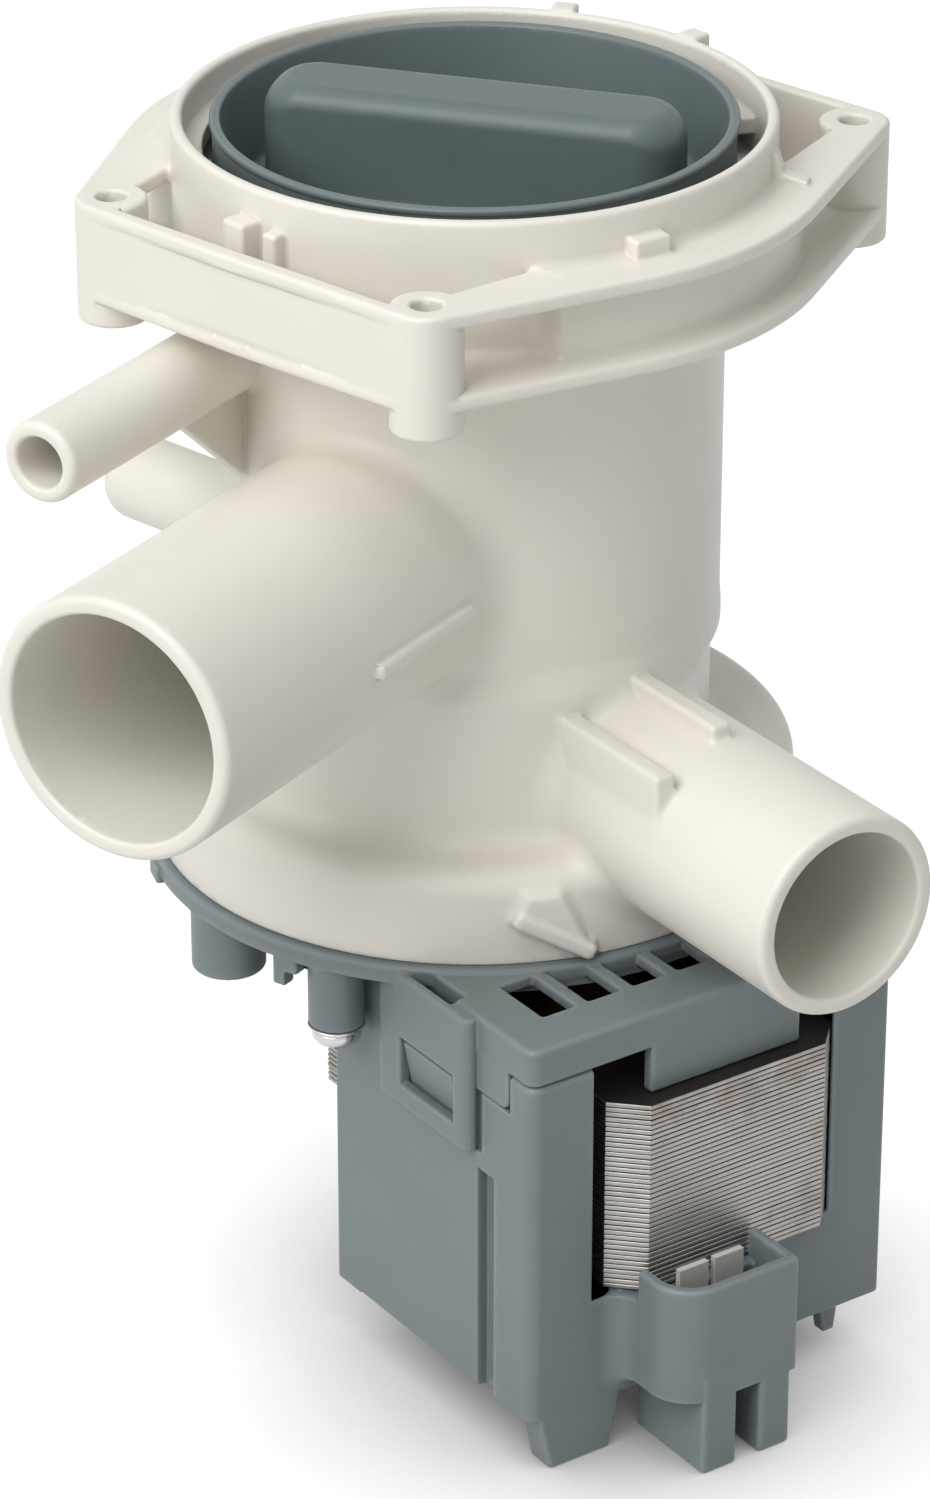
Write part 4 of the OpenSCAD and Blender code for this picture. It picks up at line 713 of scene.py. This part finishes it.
# %% Filter cap
def cap_form(p):
    """Turned cup with a rounded dish, a bar with soft ends across it, three lugs and the hub below."""
    z = p[:, 2]
    rho = np.hypot(p[:, 0], p[:, 1])
    body = turned(p, [(-5, -7), (25.4, -7), (25.4, -11.1), (29.7, -11.1), (29.7, 4.2), (30, 4.6), (30, 5.2),
                      (-5, 5.2)], 0.3)
    body = cut(body, turned(p, [(-5, -5), (26.4, -5), (29.7, 9), (-5, 9)], 1.8), 0.3)
    q = turn(p, -65)
    over = np.maximum(np.abs(q[:, :2]) - (19.5, 0.75), 0)
    plan = np.linalg.norm(over, axis=1) - 5 + np.minimum((np.abs(q[:, :2]) - (19.5, 0.75)).max(1), 0)
    soft = 2.4 + 1.6 * np.clip(np.abs(q[:, 0]) / 5 - 3.9, 0, 1)
    bar = np.maximum(inside_out(plan, z - 7.7, soft), -6 - z)
    body = join(body, bar, 0.8)
    body = cut(body, np.maximum(27.8 - rho, np.abs(z + 8.65) - 1.35), 0.15)
    for at in (-65, 55, 175):
        body = np.minimum(body, sector(p, at, 28, (28.7, 32.2), (-2.6, -0.8)))
    body = join(body, rod(p, (0, 0, -15.9), (0, 0, -6), 5, 0.4), 0.6)
    return cut(body, np.maximum(4.1 - rho, np.abs(z + 14.4) - 0.6), 0.1)


moulded_piece("turning_cap", "filter_cap", "cap", "cap_plastic", cap_form, 0.5)

# %% [markdown]
# ## Core sheets
# The core is a stack of punched sheets, so it is built as one: the same outline 38 times, each a
# little larger or smaller than the next, with a thin gap between them and a block behind, painted
# near-black as the shade in the gaps.

# %% Core
def sheet_outline():
    """One sheet, going round: bevelled front, legs, and the two arcs of the rotor's bore."""
    slot = CORE_HALF - 9.4
    front = CORE_FRONT + CORE_BEVEL
    ends = math.asin(CORE_BACK / CORE_BORE), -math.acos(slot / CORE_BORE)
    arc = np.linspace(*ends, 14)
    right = np.stack([np.cos(arc), np.sin(arc)], 1) * CORE_BORE
    yoke = CORE_FRONT + 10.1
    left = right[::-1] * (-1, 1)
    outer = np.array([(-CORE_HALF, CORE_BACK), (-CORE_HALF, front), (-CORE_HALF + CORE_BEVEL, CORE_FRONT)])
    return np.concatenate([outer, outer[::-1] * (-1, 1), right, [(slot, yoke), (-slot, yoke)], left])


def stacked(rings, start):
    """Faces of a prism whose rings of points follow each other: quads between them and two end faces."""
    count = len(rings[0])
    base = start + np.arange(len(rings) - 1)[:, None] * count + np.arange(count)
    after = start + np.arange(len(rings) - 1)[:, None] * count + np.roll(np.arange(count), -1)
    quads = np.stack([base, after, after + count, base + count], -1).reshape(-1, 4)
    last = start + (len(rings) - 1) * count
    return [*quads.tolist(), list(range(start + count - 1, start - 1, -1)), list(range(last, last + count))]


def core_stack():
    """Points and faces of the sheets and of the dark block that fills their gaps, with a mark of 1
    on that block's points and a mark of 1 on the broad face of every sheet."""
    plan = sheet_outline()
    chance = np.random.default_rng(4)
    thick, soft = 0.52, 0.07
    points, faces, gaps, flats = [], [], [], []
    rows = [(CORE_FOOT + (i + 0.5) * SHEET_T, thick / 2, chance.uniform(0.0, 0.07)) for i in range(SHEETS)]
    rows.append(((CORE_TOP + CORE_FOOT) / 2, (CORE_TOP - CORE_FOOT) / 2 - 0.1, 0.4))
    for middle, half, inset in rows:
        wide = np.array(shrunk(plan.tolist(), inset))
        tight = np.array(shrunk(plan.tolist(), inset + soft))
        rings = [np.column_stack([ring, np.full(len(ring), middle + up)])
                 for ring, up in ((tight, -half), (wide, soft - half), (wide, half - soft), (tight, half))]
        new = stacked(rings, sum(len(r) for r in points))
        faces += new
        flats += [float(len(f) > 4) for f in new]
        points += rings
        gaps += [float(inset > 0.3)] * sum(len(r) for r in rings)
    return turn(np.concatenate(points), -MOTOR_TURN), faces, gaps, flats


points, faces, gaps, flats = core_stack()
mesh = bpy.data.meshes.new("core_sheets")
mesh.from_pydata((points * MM).tolist(), [], faces)
mesh.attributes.new("gap", "FLOAT", "POINT").data.foreach_set("value", gaps)
mesh.attributes.new("flat", "FLOAT", "FACE").data.foreach_set("value", flats)
core_sheets = bpy.data.objects.new("core_sheets", mesh)
bpy.context.scene.collection.objects.link(core_sheets)
dress(core_sheets, "stator_core", "housing", "core_steel")
print("core", len(points), "points", len(faces), "faces")

# %% [markdown]
# ## Screws
# Three screws hold the motor to the housing from below. Each is turned from a profile: a flat
# washer, a spring washer and a domed head with a recess for the driver.

# %% Screws
def lathe(profile, middles, sides=48):
    """Points and quads of a profile of radius and height, turned about an upright line at each middle."""
    profile = np.asarray(profile, float)
    a = np.arange(sides) * 2 * math.pi / sides
    ring = np.stack([np.outer(profile[:, 0], np.cos(a)), np.outer(profile[:, 0], np.sin(a)),
                     np.repeat(profile[:, 1:], sides, 1)], -1).reshape(-1, 3)
    i, j = np.meshgrid(np.arange(len(profile) - 1), np.arange(sides), indexing="ij")
    k = (j + 1) % sides
    low, high = i * sides, (i + 1) * sides
    quads = np.stack([low + j, low + k, high + k, high + j], -1).reshape(-1, 4)
    points = np.concatenate([ring + (*m, 0) for m in middles])
    return points, np.concatenate([quads + n * len(ring) for n in range(len(middles))])


def mesh_piece(name, points, faces):
    """Object from points in millimetres and faces of one size."""
    mesh = bpy.data.meshes.new(name)
    fill(mesh, np.asarray(points, float), np.asarray(faces))
    piece = bpy.data.objects.new(name, mesh)
    bpy.context.scene.collection.objects.link(piece)
    return piece


def turned_steel(name, node, profile):
    """Steel piece turned at the three screw places, with smooth shading."""
    middles = [on_circle(at + MOTOR_TURN, SCREW_CIRCLE) for at in SCREW_TURNS]
    piece = mesh_piece(name, *lathe(profile, middles))
    piece.data.polygons.foreach_set("use_smooth", np.ones(len(piece.data.polygons), bool))
    dress(piece, node, "housing", "bright_steel")


turned_steel("screw_set", "flange_screws", [
    (0.02, -96.3), (1.35, -96.3), (1.35, -97.25), (1.5, -97.38), (1.9, -97.3), (2.5, -97.0),
    (2.85, -96.5), (2.9, -96.0), (2.85, -95.6), (2.7, -95.5), (1.5, -95.5), (1.5, -74.2), (0.02, -74.0)])
turned_steel("washer_set", "screw_washers", [
    (1.56, -95.45), (2.9, -95.45), (3.02, -95.38), (3.02, -95.2), (2.9, -95.14), (3.25, -95.14),
    (3.38, -95.05), (3.38, -94.9), (3.25, -94.82), (1.56, -94.82), (1.56, -95.45)])

# %% [markdown]
# ## Floor and light
# A pale floor, a large soft lamp on the left, a weaker one above, and a sky that is brighter on the
# left. The floor also glows, but only to the camera and to reflections, and less where the part
# stands close over it: the background is white, and the soft shadow round the part is a painted
# shadow in that glow, with a little real shadow from the lamps.

# %% Stage
bpy.context.scene.view_settings.view_transform = "Standard"
FLOOR_LEVEL = cad_box[0].z / MM - 0.05
half = 4000.0
floor = mesh_piece("studio_floor", [(-half, -half, FLOOR_LEVEL), (half, -half, FLOOR_LEVEL),
                                    (half, half, FLOOR_LEVEL), (-half, half, FLOOR_LEVEL)], [(0, 1, 2, 3)])


def lamp(name, place, aim, size, power):
    """Square soft lamp at a place in millimetres, turned towards a point."""
    data = bpy.data.lights.new(name, "AREA")
    data.size = size
    data.energy = power
    piece = bpy.data.objects.new(name, data)
    piece.location = Vector(place) * MM
    piece.rotation_mode = "QUATERNION"
    piece.rotation_quaternion = (Vector(aim) * MM - piece.location).to_track_quat("-Z", "Y")
    bpy.context.scene.collection.objects.link(piece)
    return piece


lamp("key_left", (-900, 10, 800), (0, 0, -70), 0.9, 10.4)
lamp("soft_top", (-150, -100, 1400), (0, 0, -70), 1.2, 4.7)


# %% Nodes helpers
def wire(tree, kind, **values):
    """Adds a node of a kind, sets inputs by name or number, and links those given as sockets."""
    node = tree.nodes.new(kind)
    for key, value in values.items():
        key = key.replace("_", " ") if not key.startswith("i") or not key[1:].isdigit() else int(key[1:])
        socket = node.inputs[key]
        if isinstance(value, bpy.types.NodeSocket):
            tree.links.new(value, socket)
        else:
            socket.default_value = value
    return node


def reckon(tree, operation, *values):
    """Result of one arithmetic node."""
    node = wire(tree, "ShaderNodeMath", **{f"i{n}": value for n, value in enumerate(values)})
    node.operation = operation
    return node.outputs[0]


def mark(tree, label):
    """Value of a mesh mark at each point."""
    node = tree.nodes.new("ShaderNodeAttribute")
    node.attribute_name = label
    return node.outputs["Fac"]


def over(tree, base, top, amount):
    """Colour of a top layer over a base, by an amount."""
    node = wire(tree, "ShaderNodeMix", i0=amount, i6=base, i7=top)
    node.data_type = "RGBA"
    return node.outputs[2]


# %% World and floor
SKY_LEFT, SKY_RIGHT, SKY_SEEN = 0.52, 0.25, 0.9
FLOOR_GLOW, GLOW_SHARE, SHADOW_REACH = 1.15, 0.92, 0.035
world = bpy.data.worlds.new("studio")
world.use_nodes = True
bpy.context.scene.world = world
tree = world.node_tree
path = tree.nodes.new("ShaderNodeLightPath")
seen = reckon(tree, "MAXIMUM", path.outputs["Is Camera Ray"], path.outputs["Is Glossy Ray"])
seen = reckon(tree, "MAXIMUM", seen, path.outputs["Is Transmission Ray"])
way = wire(tree, "ShaderNodeSeparateXYZ", Vector=tree.nodes.new("ShaderNodeTexCoord").outputs["Generated"])
sky = wire(tree, "ShaderNodeMapRange", Value=way.outputs["X"], From_Min=-1.0, To_Min=SKY_LEFT,
           To_Max=SKY_RIGHT)
level = wire(tree, "ShaderNodeMix", i0=seen, i2=sky.outputs[0], i3=SKY_SEEN)
tree.links.new(level.outputs[0], tree.nodes["Background"].inputs["Strength"])
tree.nodes["Background"].inputs["Color"].default_value = (1, 1, 1, 1)

stage_white = bpy.data.materials.new("studio_white")
stage_white.use_nodes = True
tree = stage_white.node_tree
tree.nodes.clear()
path = tree.nodes.new("ShaderNodeLightPath")
seen = reckon(tree, "MAXIMUM", path.outputs["Is Camera Ray"], path.outputs["Is Glossy Ray"])
pale = wire(tree, "ShaderNodeMapRange", Value=path.outputs["Is Camera Ray"], To_Min=0.72, To_Max=0.9)
matte = wire(tree, "ShaderNodeBsdfDiffuse", Color=pale.outputs[0])
# Painted shadow: the floor's glow is dimmed where the part hides the sky within SHADOW_REACH.
open_sky = wire(tree, "ShaderNodeAmbientOcclusion", Distance=SHADOW_REACH)
bright = reckon(tree, "MULTIPLY", open_sky.outputs["AO"], FLOOR_GLOW)
glow = wire(tree, "ShaderNodeEmission", Color=(1, 1, 1, 1), Strength=bright)
share = reckon(tree, "MULTIPLY", seen, GLOW_SHARE)
mix = wire(tree, "ShaderNodeMixShader", Fac=share, i1=matte.outputs[0], i2=glow.outputs[0])
wire(tree, "ShaderNodeOutputMaterial", Surface=mix.outputs[0])
floor.data.materials.append(stage_white)

# %% [markdown]
# ## Finishes
# Moulded plastic is never one flat colour: it has faint clouds and a fine grain. Its edges also get a
# painted highlight, a little paler, and its hollows painted shade, a little darker. One node group
# makes these for every plastic.

# %% Plastic group
def new_group(name, inputs, outputs):
    """Empty shader node group with typed inputs (name, type, default) and outputs (name, type)."""
    group = bpy.data.node_groups.new(name, "ShaderNodeTree")
    for label, kind, value in inputs:
        socket = group.interface.new_socket(label, in_out="INPUT", socket_type="NodeSocket" + kind)
        socket.default_value = value
    for label, kind in outputs:
        group.interface.new_socket(label, in_out="OUTPUT", socket_type="NodeSocket" + kind)
    return group, group.nodes.new("NodeGroupInput"), group.nodes.new("NodeGroupOutput")


EDGE_HIGHLIGHT, HOLLOW_SHADE = 0.06, 0.18
moulded, given, made = new_group("moulded_skin", [
    ("Body", "Color", (0.8, 0.8, 0.8, 1)), ("Cloud", "Color", (0.7, 0.7, 0.7, 1)),
    ("Edge", "Float", 0.0), ("Hollow", "Float", 0.0), ("Cloud Scale", "Float", 60.0),
    ("Grain Scale", "Float", 1500.0), ("Rough", "Float", 0.45)],
    [("Color", "Color"), ("Roughness", "Float"), ("Height", "Float")])
place = moulded.nodes.new("ShaderNodeTexCoord").outputs["Object"]
cloud = wire(moulded, "ShaderNodeTexNoise", Vector=place, Scale=given.outputs["Cloud Scale"], Detail=5.0,
             Roughness=0.6)
grain = wire(moulded, "ShaderNodeTexNoise", Vector=place, Scale=given.outputs["Grain Scale"], Detail=3.0)
amount = wire(moulded, "ShaderNodeMapRange", Value=cloud.outputs["Fac"], From_Min=0.35, From_Max=0.7)
tint = over(moulded, given.outputs["Body"], given.outputs["Cloud"], amount.outputs[0])
# Painted highlight: rounded edges are mixed a little towards white.
edge_highlight = over(moulded, tint, (1, 1, 1, 1), reckon(moulded, "MULTIPLY", given.outputs["Edge"], EDGE_HIGHLIGHT))
# Painted shade: hollows and inner corners are mixed a little towards a dark warm grey.
dim = reckon(moulded, "MULTIPLY", given.outputs["Hollow"], HOLLOW_SHADE)
shaded_hollows = over(moulded, edge_highlight, (0.25, 0.23, 0.2, 1), dim)
soft = reckon(moulded, "MULTIPLY_ADD", cloud.outputs["Fac"], 0.16, given.outputs["Rough"])
moulded.links.new(shaded_hollows, made.inputs["Color"])
moulded.links.new(soft, made.inputs["Roughness"])
moulded.links.new(grain.outputs["Fac"], made.inputs["Height"])


# %% Plastic finishes
def plastic(name, body, cloud, cloud_scale=60.0, grain_scale=1500.0, rough=0.4, bump=0.00004):
    """Material of one moulded plastic, from the shared group with its own colours and sizes."""
    material = bpy.data.materials.new(name)
    material.use_nodes = True
    tree = material.node_tree
    shader = tree.nodes["Principled BSDF"]
    looks = tree.nodes.new("ShaderNodeGroup")
    looks.node_tree = moulded
    for label, value in (("Body", (*body, 1)), ("Cloud", (*cloud, 1)), ("Cloud Scale", cloud_scale),
                         ("Grain Scale", grain_scale), ("Rough", rough)):
        looks.inputs[label].default_value = value
    for label in ("edge", "hollow"):
        tree.links.new(mark(tree, label), looks.inputs[label.capitalize()])
    relief = wire(tree, "ShaderNodeBump", Height=looks.outputs["Height"], Strength=0.5, Distance=bump)
    tree.links.new(looks.outputs["Color"], shader.inputs["Base Color"])
    tree.links.new(looks.outputs["Roughness"], shader.inputs["Roughness"])
    tree.links.new(relief.outputs[0], shader.inputs["Normal"])
    return material


white_plastic = plastic("white_plastic", (0.80, 0.77, 0.70), (0.775, 0.745, 0.67), 35.0, 1800.0, 0.34)
blue_plastic = plastic("blue_grey_plastic", (0.163, 0.200, 0.211), (0.180, 0.217, 0.227), 90.0,
                       1500.0, 0.36)
cap_plastic = plastic("cap_plastic", (0.101, 0.136, 0.139), (0.112, 0.147, 0.150), 60.0, 1500.0, 0.34)
strainer_plastic = plastic("strainer_plastic", (0.15, 0.18, 0.19), (0.165, 0.195, 0.205))
coil_plastic = plastic("coil_plastic", (0.012, 0.012, 0.013), (0.016, 0.016, 0.017), 60.0, 1500.0, 0.45)
nylon = plastic("nylon", (0.78, 0.77, 0.72), (0.74, 0.73, 0.68))
rubber = plastic("seal_rubber", (0.03, 0.03, 0.032), (0.04, 0.04, 0.042), 60.0, 2500.0, 0.55)
ferrite = plastic("ferrite", (0.05, 0.05, 0.053), (0.065, 0.064, 0.066), 120.0, 2500.0, 0.5)
fuse_case = plastic("fuse_case", (0.82, 0.81, 0.77), (0.8, 0.79, 0.75), 60.0, 1500.0, 0.2)


# %% Metal finishes
def metal(name, body, cloud, rough, scale=200.0):
    """Material of one bare metal, with cloudy colour and roughness."""
    material = bpy.data.materials.new(name)
    material.use_nodes = True
    tree = material.node_tree
    shader = tree.nodes["Principled BSDF"]
    shader.inputs["Metallic"].default_value = 1.0
    place = tree.nodes.new("ShaderNodeTexCoord").outputs["Object"]
    noise = wire(tree, "ShaderNodeTexNoise", Vector=place, Scale=scale, Detail=4.0)
    tint = over(tree, (*body, 1), (*cloud, 1), noise.outputs["Fac"])
    gloss = wire(tree, "ShaderNodeMapRange", Value=noise.outputs["Fac"], To_Min=rough - 0.08,
                 To_Max=rough + 0.08)
    tree.links.new(tint, shader.inputs["Base Color"])
    tree.links.new(gloss.outputs[0], shader.inputs["Roughness"])
    return material


bright_steel = metal("bright_steel", (0.72, 0.72, 0.72), (0.62, 0.62, 0.63), 0.28)
bronze = metal("bronze", (0.52, 0.36, 0.16), (0.42, 0.29, 0.13), 0.4)
tin_plate = metal("tin_plate", (0.75, 0.74, 0.70), (0.68, 0.67, 0.63), 0.55)
tin_plate.node_tree.nodes["Principled BSDF"].inputs["Metallic"].default_value = 0.35
copper_wire = metal("copper_wire", (0.12, 0.045, 0.02), (0.09, 0.035, 0.016), 0.38)
core_steel = metal("core_steel", (0.45, 0.44, 0.42), (0.38, 0.365, 0.345), 0.45)


# %% Core finish
def rusty_core(material):
    """Adds to the core's steel some rust in patches, dark broad faces, and painted black shade in the gaps
    between sheets.
    """
    tree = material.node_tree
    shader = tree.nodes["Principled BSDF"]
    place = tree.nodes.new("ShaderNodeTexCoord").outputs["Object"]
    patch = wire(tree, "ShaderNodeTexNoise", Vector=place, Scale=110.0, Detail=6.0, Roughness=0.65)
    rust = wire(tree, "ShaderNodeMapRange", Value=patch.outputs["Fac"], From_Min=0.52, From_Max=0.75,
                To_Max=0.55)
    bare = shader.inputs["Base Color"].links[0].from_socket
    color = over(tree, bare, (0.20, 0.10, 0.06, 1), rust.outputs[0])
    color = over(tree, color, (0.025, 0.022, 0.02, 1), mark(tree, "flat"))
    # Painted shade: the block seen through the gaps between sheets is made near-black.
    color = over(tree, color, (0.006, 0.006, 0.006, 1), mark(tree, "gap"))
    tree.links.new(color, shader.inputs["Base Color"])
    tree.links.new(reckon(tree, "MULTIPLY_ADD", mark(tree, "flat"), -0.7, 1.0), shader.inputs["Metallic"])


rusty_core(core_steel)

FINISH = dict(white_plastic=white_plastic, blue_grey_plastic=blue_plastic, cap_plastic=cap_plastic,
              strainer_plastic=strainer_plastic, nylon=nylon, seal_rubber=rubber, ferrite=ferrite,
              fuse_case=fuse_case, bright_steel=bright_steel, core_steel=core_steel, bronze=bronze,
              copper_wire=copper_wire, coil_plastic=coil_plastic)
for part in frame["record"]["subparts"]:
    node = frame["nodes"][part["node"]]
    node.data.materials.clear()
    tinned = part["node"] == "terminal_blades"
    node.data.materials.append(tin_plate if tinned else FINISH[part["material_slot"]])
for piece, slot in DRESSED:
    piece.data.materials.append(FINISH[slot])
